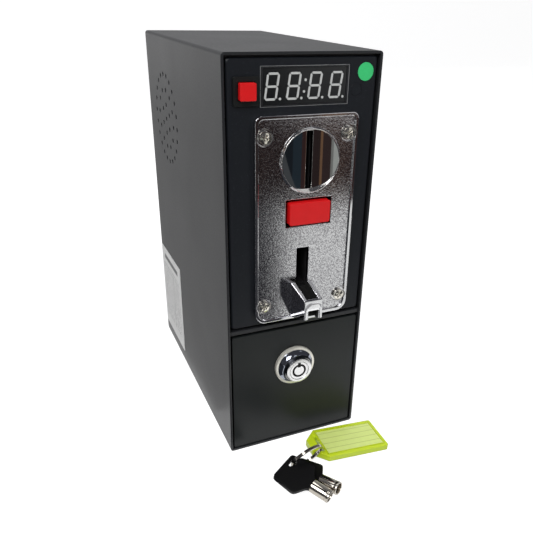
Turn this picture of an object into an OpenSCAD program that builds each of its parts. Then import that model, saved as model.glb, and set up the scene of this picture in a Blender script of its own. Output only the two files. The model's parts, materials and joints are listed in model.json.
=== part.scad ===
// Coin-operated control box: a steel case with a coin acceptor and a four-digit
// display in its front, a locked cash drawer below, and its keys beside it.
// Millimetres. The origin is the centre of the base, +Z is up, the front faces -Y.
// Places in the depth are measured from the front edge of the case, d = 0,
// towards the rear.

/* [Case] */
// Width of the case
case_w = 95; // [92:1:110]
// Depth of the case, front edge to rear panel
case_d = 186; // [182:1:240]
// Height of the case
case_h = 258; // [230:1:300]
// Thickness of the steel sheet
sheet_t = 1.5; // [1:0.1:1.8]
// Outside radius of the bent edges
bend_r = 2; // [1.9:0.1:4]
// Width of the return flange that carries the rear panel
rear_flange_w = 10; // [9:0.5:12]
// Gap between the coin plate and the top of the dividing shelf
shelf_gap = 4.3; // [3.5:0.1:6]
// Height of the shelf's front lip
shelf_lip_h = 2.6; // [2:0.1:3]

/* [Side grille] */
// Depth of the grille's centre
grille_d = 132.5; // [120:0.5:140]
// From the top of the case down to the grille's centre
grille_drop = 55.6; // [43:0.5:63]
// Distance from one ring of holes to the next
grille_pitch = 10.1; // [9:0.1:10.6]
// Radius of each hole
grille_hole_r = 1.6; // [1:0.1:2]

/* [Front panel] */
// Thickness of the moulded panel
panel_t = 2.5; // [2:0.1:3]
// How far the panel lies behind the case's front edge
panel_inset = 1; // [0.5:0.1:1.5]
// Gap between the panel and the case
panel_gap = 1.2; // [0.8:0.1:1.6]
// Bevel round the panel's front
panel_bevel = 0.8; // [0.4:0.1:1.2]

/* [Display] */
// Centre of the display across the case
display_x = 0.6; // [-1:0.1:2]
// From the top of the case down to the centre of the display
display_drop = 17.4; // [16.5:0.1:18.5]
// Height of the display module
display_h = 19; // [17.6:0.1:19.6]
// Depth of the display module
display_t = 8; // [6:0.5:10]
// Width of the bezel's rim round the module
bezel_w = 0.7; // [0.5:0.1:0.9]
// Height of one digit
digit_h = 14.2; // [12:0.1:15]
// Distance from one digit to the next
digit_pitch = 12.7; // [12:0.1:13]
// Width of one digit
digit_w = 7.4; // [6.5:0.1:8]
// Width of a segment's stroke
segment_w = 1.15; // [1:0.05:1.8]
// Radius of a digit's point
point_r = 0.7; // [0.5:0.05:0.8]
// Lean of the digits
digit_slant = 8; // [0:1:12]

/* [Set button] */
// Gap between the display's window and the button's bezel
set_gap = 1.2; // [1:0.1:2.6]
// From the top of the case down to the centre of the button
set_drop = 19.2; // [16:0.1:20]
// Side of the square cap
set_cap = 9; // [8.6:0.1:10.4]
// Width and height of the bezel
set_bezel = 14.8; // [14.4:0.1:15.2]
// Travel of the cap
set_travel = 1.5; // [1:0.1:2]
// How far the cap stands proud of its bezel
set_proud = 3; // [2.5:0.1:4]

/* [Sticker and label] */
// Radius of the round sticker
dot_r = 4.9; // [4:0.1:5.4]
// Width of the rating label, along the depth
label_w = 62; // [50:1:66]
// Height of the rating label
label_h = 76; // [60:1:80]

/* [Coin plate] */
// Centre of the plate across the case
plate_x = 1.8; // [0:0.1:3]
// Gap between the display's window and the top of the plate
plate_gap = 4.5; // [3.7:0.1:5.1]
// Width of the plate
plate_w = 63.5; // [62:0.5:66]
// Height of the plate
plate_h = 127; // [125:0.5:129]
// Thickness of the plate's field
plate_t = 2.5; // [2:0.1:3]
// Height of the polished rim over the field
rim_h = 1; // [0.6:0.1:1.4]
// Width of the polished rim
rim_w = 1.8; // [1.2:0.1:2.4]
// Radius of the plate's top corners
plate_top_r = 4; // [3:0.5:6]
// Radius of the plate's bottom corners
plate_low_r = 7; // [5:0.5:9]
// Distance between the plate's screws across
screw_dx = 52; // [51:0.5:53]
// Distance between the plate's screws in height
screw_dz = 104; // [103:0.5:105]

/* [Coin path] */
// Centre of the coin slot across the case
coin_x = 4; // [3.6:0.1:4.4]
// From the top of the plate down to the centre of the coin entry
entry_drop = 26.1; // [25.6:0.1:26.6]
// Outside radius of the entry's bevelled ring
entry_r = 19.2; // [19:0.1:19.6]
// Width of the coin slot
slot_w = 4; // [3.4:0.1:4.4]
// Length of the coin slot
slot_l = 33.5; // [30:0.5:34]
// Radius of the entry's hollow face
hollow_r = 60; // [40:1:80]
// Clear width of the channel that the coin rolls in
channel_w = 3.4; // [3:0.1:3.6]
// Largest coin
coin_d = 32; // [30:0.5:32.4]

/* [Coin return] */
// Centre of the return slot across the case
return_x = 1.2; // [0.8:0.1:1.6]
// Clear width of the return slot
return_w = 8; // [7.6:0.1:8.4]
// From the top of the plate down to the top of the return slot
return_drop = 79.1; // [78.1:0.5:81.1]
// How far the spout stands out of the plate
spout_l = 18.5; // [15:0.5:20]
// Width of the spout's tip
spout_tip_w = 11.8; // [11.4:0.1:12.6]
// Width of the spout's foot on the plate
spout_foot_w = 14; // [13:0.2:16]

/* [Reject button] */
// Centre of the button across the case
reject_x = 4.2; // [3.8:0.1:4.6]
// From the top of the plate down to the centre of the button
reject_drop = 56.8; // [56.4:0.1:57.2]
// Width of the button
reject_w = 26.3; // [25.6:0.1:28]
// Height of the button
reject_h = 13.5; // [13:0.1:14.6]
// Travel of the button
reject_travel = 3.5; // [3:0.1:3.5]
// How far the button stands proud of the plate's field
reject_proud = 2.5; // [2:0.1:3]

/* [Cash drawer] */
// Thickness of the drawer's front sheet
door_t = 1.5; // [1.2:0.1:1.8]
// Gap between the drawer's front and the case
door_gap = 1.3; // [1:0.1:1.6]
// How far the drawer's front lies behind the case's edge
door_inset = 0.8; // [0.5:0.1:1]
// Depth of the drawer's front pan
door_pan = 11; // [9:0.5:12]
// Length of the tray
tray_l = 166; // [150:1:168]
// Room between the top of the tray's walls and the shelf
tray_room = 25.3; // [24:0.1:30]
// Thickness of the tray's sheet
tray_t = 1.2; // [1:0.1:1.5]
// Thickness of the glide strips under the tray
glide_t = 1.8; // [1.5:0.1:1.9]

/* [Lock] */
// Centre of the lock across the case
lock_x = -1; // [-3:0.5:1]
// From the top of the shelf down to the lock
lock_drop = 33.8; // [33.3:0.1:34.3]
// Radius of the lock's flange
flange_r = 14.2; // [13.5:0.1:15]
// Radius of the lock's face
face_r = 9; // [8.6:0.1:9.4]
// How far the lock's face stands out
face_out = 8; // [6:0.5:9]
// Radius of the lock's barrel
barrel_r = 9.5; // [9.2:0.1:9.6]
// Length of the barrel behind the drawer's front face
barrel_l = 20; // [19:0.5:22]
// Radius of the turning plug
plug_r = 6.5; // [6.2:0.1:6.8]
// Length of the cam from the lock's axis
cam_l = 24; // [22:0.5:26]
// Thickness of the cam
cam_t = 2.5; // [2:0.1:3]

/* [Keys] */
// Radius of a key's barrel
key_r = 4.3; // [4:0.05:4.35]
// Length of a key's barrel
key_len = 13.3; // [12.5:0.1:14]
// Width of a key's bow next to the barrel
bow_w = 25.6; // [24:0.2:27]
// Width of a key's bow at its far end
bow_end_w = 22.4; // [20:0.2:24]
// Length of a key's bow
bow_l = 23.8; // [22:0.2:25]
// Thickness of a key's bow
bow_t = 2.6; // [2.2:0.1:2.7]
// Mean radius of the key ring
ring_r = 11.1; // [10.8:0.1:11.4]
// Radius of the ring's wire
ring_wire_r = 1; // [0.8:0.1:1]
// Length of the key tag
tag_l = 55; // [52:1:58]
// Width of the key tag
tag_w = 29; // [27:0.5:30]
// Thickness of the key tag
tag_t = 4.2; // [4:0.1:4.8]

/* [Hidden] */

$fn = 48;
eps = 0.01;
// Gap between pieces that move past each other
clear = 0.3;
// Radial gap of a pin or plug that turns in its bore
run_gap = 0.06;

// Case
front_y = -case_d / 2;
in_x = case_w / 2 - sheet_t;
in_top = case_h - sheet_t;
rear_d = case_d - sheet_t;

// Heights, from the top of the case down
grille_z = case_h - grille_drop;
set_z = case_h - set_drop;
display_z = case_h - display_drop;
window_gap = 0.1;
display_w = 4 * digit_pitch - 0.5;
window_w = display_w + 2 * bezel_w + 2 * window_gap;
window_h = display_h + 2 * bezel_w - 0.4;
plate_top = display_z - window_h / 2 - plate_gap;
plate_z = plate_top - plate_h / 2;
plate_low = plate_top - plate_h;
entry_z = plate_top - entry_drop;
reject_z = plate_top - reject_drop;
return_top = plate_top - return_drop;
shelf_z = plate_low - shelf_gap;
shelf_low = shelf_z - sheet_t;
lock_z = shelf_z - lock_drop;

// Front panel
panel_seam = 1.6;
panel_w = 2 * (in_x - panel_gap);
panel_low = shelf_z + panel_seam;
panel_high = in_top - panel_gap;
panel_back = panel_inset + panel_t;
panel_corner_r = 2;
boss_x = panel_w / 2 - 7;
boss_low = panel_low + 9;
boss_r = 4;
boss_l = 6;
boss_back = panel_back + boss_l;
bracket_w = 14;
bracket_h = 8;
bracket_foot = 14;
panel_screw_r = 1.5;
screw_head_r = 3;
screw_head_h = 2.2;

// Display
bezel_front = panel_inset - 0.2;
display_front = panel_inset + 0.3;
display_back = display_front + display_t;
display_board_t = 1.6;
display_post_x = 18;
display_post_z = 11.8;
display_post_r = 1.4;
segment_t = 0.25;

// Set button
set_x = display_x - window_w / 2 - set_gap - set_bezel / 2;
set_bezel_t = 1.4;
set_bezel_front = panel_inset - set_bezel_t;
set_body = set_bezel - 2;
boss_high = set_z - set_body / 2 - bracket_h / 2 - 0.4;
set_cap_front = set_bezel_front - set_proud;
set_cap_back = panel_back + 1.5;
set_floor = set_cap_back + set_travel + 3.5;
set_body_back = set_floor + 1.5;
set_spring_r = 2.6;
wire_r = 0.3;

// Sticker and label
dot_x = 37.5;
dot_z = case_h - 10.9;
paper_t = 0.3;
label_low = 11;

// Coin plate
plate_back = panel_inset;
field_d = plate_back - plate_t;
rim_d = field_d - rim_h;
recess_r = 4.8;
recess_depth = 0.8;
screw_r = 2;
plate_head_r = 3.7;
plate_nut_r = 4.04;
plate_nut_t = 3.2;

// Coin entry
ring_rise = 1.5;
entry_front = field_d - ring_rise;
entry_face_r = entry_r - 1.3;
entry_neck_r = entry_r - 1.2;
entry_back = plate_back + 2.4;
hollow_depth = hollow_r - sqrt(hollow_r * hollow_r - entry_face_r * entry_face_r);

// Acceptor body
flange_front = plate_back;
flange_t = 3;
flange_back = flange_front + flange_t;
body_x0 = plate_x - 21.3;
body_x1 = plate_x + 21.7;
body_low = plate_low + 12.9;
body_high = plate_top - 4.1;
opening_gap = 0.5;
wall_x0 = coin_x + channel_w / 2;
wall_t = 3;
wall_x1 = wall_x0 + wall_t;
channel_x0 = coin_x - channel_w / 2;
ramp_top = entry_z - 18;
ramp_drop = 9;
ramp_end = 34;
rib_t = 2;
low_wall_t = 1.5;
drop_d = ramp_end + coin_d + 1;
body_back = drop_d + 2;
guide_back = 21.5;
pocket_gap = 1.7;
pocket_w = reject_w + 2 * pocket_gap;
pocket_h = reject_h + 2 * pocket_gap;
reject_back = 1.5;
pocket_floor = reject_back + reject_travel + 1;
pocket_floor_t = 2;
return_low = plate_low + 19.9;

// Reject button, lever and flap
reject_front = field_d - reject_proud;
stem_x = -1;
stem_z = reject_z - 3.8;
stem_r = 1.5;
lever_d = 12;
lever_x = -14;
lever_t = 3;
lever_front = lever_d - lever_t / 2;
lever_reach = 14.5;
lever_arm = 20;
lever_hub_r = 3;
lever_h = 5;
lever_low = stem_z - lever_h / 2;
lever_high = stem_z + lever_h / 2;
pin_r = 1.5;
lug_t = 2.5;
flap_hinge_x = 0.65;
flap_hinge_z = body_high - 2.5;
flap_hub_r = 2.4;
flap_t = 2.7;
flap_x1 = channel_x0 - clear;
flap_x0 = flap_x1 - flap_t;
flap_front = guide_back + 0.5;
flap_back = drop_d - 0.5;
flap_low = stem_z - 7.5;
ear_d = 27;
ear_w = 8;
ear_x1 = lever_x - lever_t / 2 - clear;
ear_t = 3;
ear_low = stem_z - 5.5;
ear_high = stem_z + 10.5;
bridge_t = 3.5;

// Solenoid and gate
gate_travel = 4.5;
gate_d = 50;
gate_z = return_low + 20.5;
gate_t = 2;
gate_rise = 13;
gate_low_d = 37;
gate_low_z = gate_z - gate_rise / 2;
gate_high_d = 64;
gate_high_z = gate_z + gate_rise / 2;
carrier_x = wall_x1 + 0.5;
carrier_t = 1.5;
carrier_w = 16;
bracket_t = 1.2;
sol_x0 = carrier_x + carrier_t + gate_travel + 0.5;
sol_l = 13;
sol_r = 8.5;
sol_x1 = sol_x0 + bracket_t + sol_l + bracket_t;
plunger_r = 3.2;
sol_low = gate_z - 11;
sol_high = gate_z + 10;

// Acceptor board
sensor_r = 7;
sensor_t = 6;
sensor_places = [[24, entry_z - 10], [42, entry_z - 18]];
board_t = 1.6;
acc_board_x = wall_x1 + 9.3;
acc_board_low = sol_high + 4.5;
acc_board_high = body_high - 8;
acc_board_front = 9;
acc_board_back = 63;
post_r = 2.2;

// Chute
chute_w = 7;
chute_wall = 1.2;
chute_front = ramp_end;
chute_back = drop_d;
chute_low = shelf_low - 4;
chute_high = body_low - 0.3;
chute_flange_w = 5;

// Cash drawer
door_w = 2 * (in_x - door_gap);
tray_low = sheet_t + glide_t + clear;
door_low = tray_low - door_t - 0.1;
door_high = shelf_z - shelf_lip_h - 1.8;
door_back = door_inset + door_t;
door_corner_r = 1.2;
tray_x = door_w / 2 - door_t - 0.2;
tray_high = shelf_low - tray_room;
tray_h = tray_high - tray_low;
tray_back = door_back + tray_l;
tray_screw_d = door_inset + 6;
tray_screw_low = tray_low + tray_h / 4;
tray_screw_high = tray_high - tray_h / 4;
tray_screw_r = 1.5;
tray_screw_head = 2.8;
glide_x = 35;
glide_w = 10;
glide_front = 14;
guide_t = 1.2;
guide_leg = 7;
guide_front = 16;
guide_low = tray_high + clear;

// Lock
lock_front = door_inset - face_out - 0.8;
barrel_back = door_inset + barrel_l;
collar_d = door_inset - 1.8;
nut_r = 13.6;
nut_t = 4;
nut_front = door_back + tray_t;
keyway_r = 4.9;
keyway_in_r = 3.5;
keyway_depth = 7;
notch_w = 2;
square_w = 7;
cam_front = barrel_back + 0.6;
cam_back = cam_front + cam_t;
cam_hub_r = 8;
cam_tip_r = 6;
cam_screw_r = 2.4;
cam_screw_head = 4.6;
strike_t = 2;
strike_back = cam_front - 0.8;
strike_low = lock_z + nut_r + 2;
strike_w = 24;
strike_foot = 11;

// Rear fittings
rear_face = case_d;
fit_x = 0;
fit_pitch = 34;
switch_z = case_h - 62;
outlet_z = switch_z - fit_pitch;
inlet_z = outlet_z - fit_pitch;
fit_w = 50;
fit_h = 22.5;
fit_t = 3;
fit_body_w = 27;
fit_body_h = 19.6;
fit_depth = 22;
fit_screw_x = 20;
blade_w = 4;
blade_t = 2;
blade_dx = 7;
rear_screw_x = in_x - rear_flange_w / 2;
rear_screw_inset = 8;
rear_screw_r = 1.5;
louvre_w = 44;
louvre_h = 3;
louvre_pitch = 7;
louvre_low = switch_z + 22;
rocker_w = 10;
rocker_h = 15;
rocker_t = 4;
rocker_tilt = 9;
rocker_d = rear_face + 0.5;
switch_w = 15;
switch_h = 21;
switch_rim = 2;
switch_depth = 14;

// Supply and boards
core_w = 48;
core_d = 34;
core_h = 40;
core_front = 100;
winding_d = 46;
foot_t = 1.5;
main_board_x = 38.4;
main_board_front = 84;
main_board_back = 172;
main_board_low = shelf_z + 13.2;
main_board_high = case_h - 22;
standoff_r = 2.5;
standoff_inset = 6;
relay_at = [64, 88];
relay_size = [18, 26, 16];
strip_at = [16, 6];
strip_size = [50, 12, 12];
chip_at = [20, 70];
chip_size = [14, 36, 3];
socket_at = [46, 62];
socket_size = [8, 30, 9];
capacitor_at = [16, 42];
capacitor_pitch = 16;
capacitor_r = 6;
capacitor_h = 22;

// Speaker
speaker_r = 37;
cone_r = 31;
cone_in_r = 10;
cone_depth = 14;
magnet_r = 17;
magnet_t = 9;
basket_t = 1.2;

// Keys, on the surface in front of the case
bow_corner = 2;
bow_shoulder = 7;
bow_hole_w = 4;
bow_hole_l = 7;
collar_l = 2;
collar_rise = 0.08;
groove_w = 0.5;
bore_wall = 0.9;
bore_l = 8;
tang_r = 2.5;
tang_l = 4;
key_1 = [-4.9, -68, 4.6];
key_1_turn = [123, 9.6, -5.2];
key_2 = [3.1, -64.2, 5.23];
key_2_turn = [121.5, -4, 3.7];
ring_at = [-6.2, -35.4, 11.2];
ring_turn = 11.8;
ring_tilt = 65;
ring_gap = 0.35;
tag_at = [56, -24.8, 0];
tag_turn = -1.5;
tag_rise = 4.3;
tag_cut = 9;
tag_slot_x = 47.8;
tag_slot_l = 16;
tag_slot_w = 2.2;
insert_t = 0.8;
insert_l = 42.6;
insert_w = 22.6;

// ---- Helpers -------------------------------------------------------------

// Block between two limits on each axis, with the depth from the front edge
module block(x0, x1, d0, d1, z0, z1) {
    translate([x0, front_y + d0, z0])
        cube([x1 - x0, d1 - d0, z1 - z0]);
}

// Round bar along X
module bar_x(x0, x1, d, z, r) {
    translate([x0, front_y + d, z])
        rotate([0, 90, 0])
            cylinder(h = x1 - x0, r = r);
}

// Round bar along Y
module bar_y(d0, d1, x, z, r) {
    translate([x, front_y + d0, z])
        rotate([-90, 0, 0])
            cylinder(h = d1 - d0, r = r);
}

// Round bar along Z
module bar_z(z0, z1, x, d, r) {
    translate([x, front_y + d, z0])
        cylinder(h = z1 - z0, r = r);
}

// Outline drawn in X and Z, given a depth from d0 to d1
module plate(d0, d1, x, z) {
    translate([x, front_y + d1, z])
        rotate([90, 0, 0])
            linear_extrude(d1 - d0)
                children();
}

// Outline drawn in depth and Z, given a width from x0 to x1
module profile(x0, x1) {
    translate([x0, front_y, 0])
        rotate([90, 0, 90])
            linear_extrude(x1 - x0)
                children();
}

// Solid turned about an axis along Y; the outline is radius and depth
module turned_y(x, z) {
    translate([x, front_y, z])
        rotate([-90, 0, 0])
            rotate_extrude()
                children();
}

// Solid turned about an axis along X; the outline is radius and width
module turned_x(x, d, z) {
    translate([x, front_y + d, z])
        rotate([0, 90, 0])
            rotate_extrude()
                children();
}

// Rectangle with round corners, about its centre
module round_rect(w, h, r) {
    square([w - 2 * r, h], center = true);
    square([w, h - 2 * r], center = true);
    for (sx = [-1, 1], sz = [-1, 1])
        translate([sx * (w / 2 - r), sz * (h / 2 - r)])
            circle(r);
}

// Coil spring: a wire swept along a helix that stands on Z
function helix_point(a, turns, r, h) =
    [r * cos(a), r * sin(a), h * a / (360 * turns)];
module coil_spring(r, wire, h, turns) {
    sides = 8;
    steps = turns * 16;
    points = [for (i = [0:steps], k = [0:sides - 1])
        let (a = 360 * turns * i / steps, b = 360 * k / sides)
        helix_point(a, turns, r, h)
            + [wire * cos(b) * cos(a), wire * cos(b) * sin(a), wire * sin(b)]];
    walls = [for (i = [0:steps - 1], k = [0:sides - 1])
        [i * sides + k, (i + 1) * sides + k,
            (i + 1) * sides + (k + 1) % sides, i * sides + (k + 1) % sides]];
    start = [[for (k = [0:sides - 1]) k]];
    end = [[for (k = [0:sides - 1]) steps * sides + sides - 1 - k]];
    polyhedron(points, concat(start, walls, end));
}

// Spring along Y between two depths
module spring_y(d0, d1, x, z, r, wire, turns) {
    translate([x, front_y + d0 + wire, z])
        rotate([-90, 0, 0])
            coil_spring(r, wire, d1 - d0 - 2 * wire, turns);
}

// Pan-head screw whose head bears at depth d and whose shank runs towards +Y
module screw_y(d, x, z, r, l, head_r, head_h) {
    difference() {
        union() {
            bar_y(d - head_h, d, x, z, head_r);
            bar_y(d - eps, d + l, x, z, r);
        }
        for (a = [0, 90])
            translate([x, front_y + d - head_h, z])
                rotate([0, a, 0])
                    cube([head_r * 1.2, head_h, head_r * 0.24], center = true);
    }
}

// ---- Case ----------------------------------------------------------------

module case_outline(inset) {
    translate([0, case_h / 2])
        round_rect(case_w - 2 * inset, case_h - 2 * inset, max(bend_r - inset, 0.4));
}

// Holes of the round grille: one in the middle and three rings
grille_rings = [[1, 6, 37.7], [2, 12, 7.7], [3, 22, 4.2]];
module grille_holes() {
    bar_x(-in_x - 2 * sheet_t, -in_x + sheet_t, grille_d, grille_z, grille_hole_r);
    for (ring = grille_rings, i = [0:ring[1] - 1]) {
        a = ring[2] + 360 * i / ring[1];
        bar_x(-in_x - 2 * sheet_t, -in_x + sheet_t,
            grille_d + ring[0] * grille_pitch * cos(a),
            grille_z + ring[0] * grille_pitch * sin(a), grille_hole_r);
    }
}

module rear_screw_places() {
    for (sx = [-1, 1], z = [rear_screw_inset, case_h / 2, case_h - rear_screw_inset])
        translate([sx * rear_screw_x, 0, z])
            children();
}

module case_shell() {
    color("#232526")
    difference() {
        plate(0, rear_d, 0, 0)
            case_outline(0);
        plate(-1, rear_d - sheet_t, 0, 0)
            case_outline(sheet_t);
        plate(0, rear_d + 1, 0, 0)
            case_outline(sheet_t + rear_flange_w);
        grille_holes();
        rear_screw_places()
            bar_y(rear_d - 2 * sheet_t, rear_d + 1, 0, 0, rear_screw_r);
    }
}

module rear_panel() {
    color("#232526")
    difference() {
        plate(rear_d, rear_face, 0, 0)
            case_outline(0);
        for (z = [inlet_z, outlet_z]) {
            block(-fit_body_w / 2, fit_body_w / 2, rear_d - 1, rear_face + 1,
                z - fit_body_h / 2, z + fit_body_h / 2);
            for (sx = [-1, 1])
                bar_y(rear_d - 1, rear_face + 1, sx * fit_screw_x, z, 1.7);
        }
        block(-(switch_w - 2) / 2, (switch_w - 2) / 2, rear_d - 1, rear_face + 1,
            switch_z - (switch_h - 2) / 2, switch_z + (switch_h - 2) / 2);
        for (i = [0:3])
            plate(rear_d - 1, rear_face + 1, 0, louvre_low + i * louvre_pitch)
                round_rect(louvre_w, louvre_h, louvre_h / 2 - eps);
        rear_screw_places()
            bar_y(rear_d - 1, rear_face + 1, 0, 0, rear_screw_r);
    }
}

module rear_panel_screws() {
    color("silver")
    rear_screw_places()
        mirror([0, 1, 0])
            translate([0, -2 * front_y - 2 * rear_face, 0])
                screw_y(rear_face, 0, 0, rear_screw_r, 5, screw_head_r, screw_head_h);
}

module mid_shelf() {
    flange_h = 6;
    color("#2b2d2f")
    difference() {
        union() {
            block(-in_x, in_x, panel_inset, rear_d - sheet_t, shelf_low, shelf_z);
            block(-in_x, in_x, panel_inset, panel_inset + sheet_t,
                shelf_z - shelf_lip_h, shelf_z);
            for (sx = [-1, 1])
                block(sx > 0 ? in_x - sheet_t : -in_x, sx > 0 ? in_x : -in_x + sheet_t,
                    panel_back + boss_l, rear_d - sheet_t, shelf_z - eps,
                    shelf_z + flange_h);
        }
        block(coin_x - chute_w / 2 - chute_wall - clear,
            coin_x + chute_w / 2 + chute_wall + clear,
            chute_front - chute_wall - clear, chute_back + chute_wall + clear,
            shelf_low - 1, shelf_z + 1);
    }
}

// ---- Front panel ---------------------------------------------------------

module panel_places() {
    for (sx = [-1, 1], z = [boss_low, boss_high])
        translate([sx * boss_x, 0, z])
            children();
}

module front_panel() {
    panel_mid = (panel_low + panel_high) / 2;
    panel_h = panel_high - panel_low;
    color("#2c2f33")
    difference() {
        union() {
            hull() {
                plate(panel_inset + panel_bevel, panel_back, 0, panel_mid)
                    round_rect(panel_w, panel_h, panel_corner_r);
                plate(panel_inset, panel_back, 0, panel_mid)
                    round_rect(panel_w - 2 * panel_bevel, panel_h - 2 * panel_bevel,
                        panel_corner_r);
            }
            panel_places()
                bar_y(panel_back - eps, boss_back, 0, 0, boss_r);
            for (sx = [-1, 1], sz = [-1, 1])
                bar_y(panel_back - eps, display_back, display_x + sx * display_post_x,
                    display_z + sz * display_post_z, display_post_r);
        }
        block(display_x - window_w / 2, display_x + window_w / 2, -1, panel_back + 1,
            display_z - window_h / 2, display_z + window_h / 2);
        block(set_x - set_body / 2, set_x + set_body / 2, -1, panel_back + 1,
            set_z - set_body / 2, set_z + set_body / 2);
        block(body_x0 - opening_gap, body_x1 + opening_gap, -1, panel_back + 1,
            body_low - 3 - opening_gap, body_high + opening_gap);
        for (sx = [-1, 1], sz = [-1, 1])
            bar_y(-1, panel_back + 1, plate_x + sx * screw_dx / 2,
                plate_z + sz * screw_dz / 2, screw_r + 0.2);
        panel_places()
            bar_y(panel_back, boss_back + 1, 0, 0, panel_screw_r);
    }
}

module panel_brackets() {
    color("silver")
    difference() {
        for (sx = [-1, 1], z = [boss_low, boss_high]) {
            x_out = sx * in_x;
            x_in = sx * (in_x - bracket_w);
            x_foot = sx * (in_x - sheet_t);
            block(min(x_in, x_out), max(x_in, x_out), boss_back, boss_back + sheet_t,
                z - bracket_h / 2, z + bracket_h / 2);
            block(min(x_foot, x_out), max(x_foot, x_out), boss_back,
                boss_back + bracket_foot, z - bracket_h / 2, z + bracket_h / 2);
        }
        panel_places()
            bar_y(boss_back - 1, boss_back + sheet_t + 1, 0, 0, panel_screw_r + 0.2);
    }
}

module panel_screws() {
    color("silver")
    panel_places()
        mirror([0, 1, 0])
            translate([0, -2 * front_y - 2 * (boss_back + sheet_t), 0])
                screw_y(boss_back + sheet_t, 0, 0, panel_screw_r, sheet_t + boss_l - 0.5,
                    screw_head_r, screw_head_h);
}

// ---- Display -------------------------------------------------------------

module display_bezel() {
    color("#3a3c3e")
    difference() {
        block(display_x - window_w / 2 + window_gap, display_x + window_w / 2 - window_gap,
            bezel_front, panel_back, display_z - window_h / 2 + window_gap,
            display_z + window_h / 2 - window_gap);
        block(display_x - display_w / 2, display_x + display_w / 2, bezel_front - 1,
            panel_back + 1, display_z - display_h / 2, display_z + display_h / 2);
    }
}

module display_module() {
    color("#121314")
    block(display_x - display_w / 2, display_x + display_w / 2, display_front,
        display_back, display_z - display_h / 2, display_z + display_h / 2);
}

// One bar of a digit, with pointed ends, lying along X
module segment_bar(l, w) {
    polygon([[-l / 2, 0], [-l / 2 + w / 2, w / 2], [l / 2 - w / 2, w / 2],
        [l / 2, 0], [l / 2 - w / 2, -w / 2], [-l / 2 + w / 2, -w / 2]]);
}

// Seven bars and a point, leaning by the slant
module digit() {
    bar_h = digit_w - segment_w - 0.3;
    bar_v = digit_h / 2 - segment_w / 2 - 0.3;
    lean = tan(digit_slant);
    for (k = [-1, 0, 1])
        translate([lean * k * (digit_h - segment_w) / 2, k * (digit_h - segment_w) / 2])
            segment_bar(bar_h, segment_w);
    for (sx = [-1, 1], sz = [-1, 1])
        translate([sx * (digit_w - segment_w) / 2 + lean * sz * (digit_h - segment_w) / 4,
            sz * (digit_h - segment_w) / 4])
            rotate(90 - digit_slant)
                segment_bar(bar_v, segment_w);
    translate([digit_w / 2 + 1, -digit_h / 2 + point_r])
        circle(point_r);
}

module display_segments() {
    color("#c9cbc9")
    plate(display_front - segment_t, display_front, display_x, display_z) {
        for (k = [0:3])
            translate([(k - 1.5) * digit_pitch - 0.6, 0])
                digit();
        for (sz = [-1, 1])
            translate([-0.4 + sz * 0.4, sz * 3])
                circle(point_r);
    }
}

module display_board() {
    board_w = display_w;
    board_h = 2 * display_post_z + 4;
    color("darkgreen")
    union() {
        block(display_x - board_w / 2, display_x + board_w / 2, display_back,
            display_back + display_board_t, display_z - board_h / 2,
            display_z + board_h / 2);
        block(display_x - 8, display_x + 8, display_back + display_board_t - eps,
            display_back + display_board_t + 6, display_z - 3, display_z + 3);
    }
}

// ---- Set button ----------------------------------------------------------

module set_button_housing() {
    hole = set_cap + 2 * clear;
    color("#1a1b1c")
    difference() {
        union() {
            plate(set_bezel_front, panel_inset, set_x, set_z)
                round_rect(set_bezel, set_bezel, 1);
            block(set_x - set_body / 2, set_x + set_body / 2, panel_inset - eps,
                set_body_back, set_z - set_body / 2, set_z + set_body / 2);
        }
        block(set_x - hole / 2, set_x + hole / 2, set_bezel_front - 1, set_floor,
            set_z - hole / 2, set_z + hole / 2);
    }
}

module set_button_cap() {
    color("#d92a2a")
    plate(set_cap_front, set_cap_back, set_x, set_z)
        round_rect(set_cap, set_cap, 0.8);
}

module set_button_spring() {
    color("silver")
    spring_y(set_cap_back, set_floor, set_x, set_z, set_spring_r, wire_r, 3);
}

// ---- Sticker and label ---------------------------------------------------

module dot_sticker() {
    color("#3fc878")
    bar_y(panel_inset - paper_t, panel_inset, dot_x, dot_z, dot_r);
}

module rating_label() {
    color("#e9e9e6")
    block(-case_w / 2 - paper_t, -case_w / 2, rear_d - label_w, rear_d - 0.5,
        label_low, label_low + label_h);
}

// ---- Coin plate ----------------------------------------------------------

// The plate's outline, drawn in by an inset; its bottom corners are rounder
module plate_outline(inset) {
    w = plate_w / 2 - inset;
    h = plate_h / 2 - inset;
    rt = plate_top_r - inset / 2;
    rb = plate_low_r - inset / 2;
    difference() {
        translate([-w, -h])
            square([2 * w, 2 * h]);
        for (sx = [-1, 1]) {
            translate([sx * w, h])
                corner_cut(rt, -sx, -1);
            translate([sx * w, -h])
                corner_cut(rb, -sx, 1);
        }
    }
}

// What is cut from a square corner to round it
module corner_cut(r, sx, sz) {
    difference() {
        translate([sx > 0 ? -1 : -r, sz > 0 ? -1 : -r])
            square([r + 1, r + 1]);
        translate([sx * r, sz * r])
            circle(r);
    }
}

module plate_places() {
    for (sx = [-1, 1], sz = [-1, 1])
        translate([plate_x + sx * screw_dx / 2, 0, plate_z + sz * screw_dz / 2])
            children();
}

// Spout under the return slot: a body that narrows to its tip
module spout_body() {
    spout_rise = 4.5;
    tip_d = field_d - spout_l;
    foot_low = plate_z - plate_h / 2 + 1;
    hull() {
        block(return_x - spout_foot_w / 2, return_x + spout_foot_w / 2, field_d - 0.1,
            field_d + 0.5, foot_low, return_low + spout_rise);
        block(return_x - spout_tip_w / 2, return_x + spout_tip_w / 2, tip_d, tip_d + 1.5,
            return_low - 12.5, return_low);
    }
}

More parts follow.
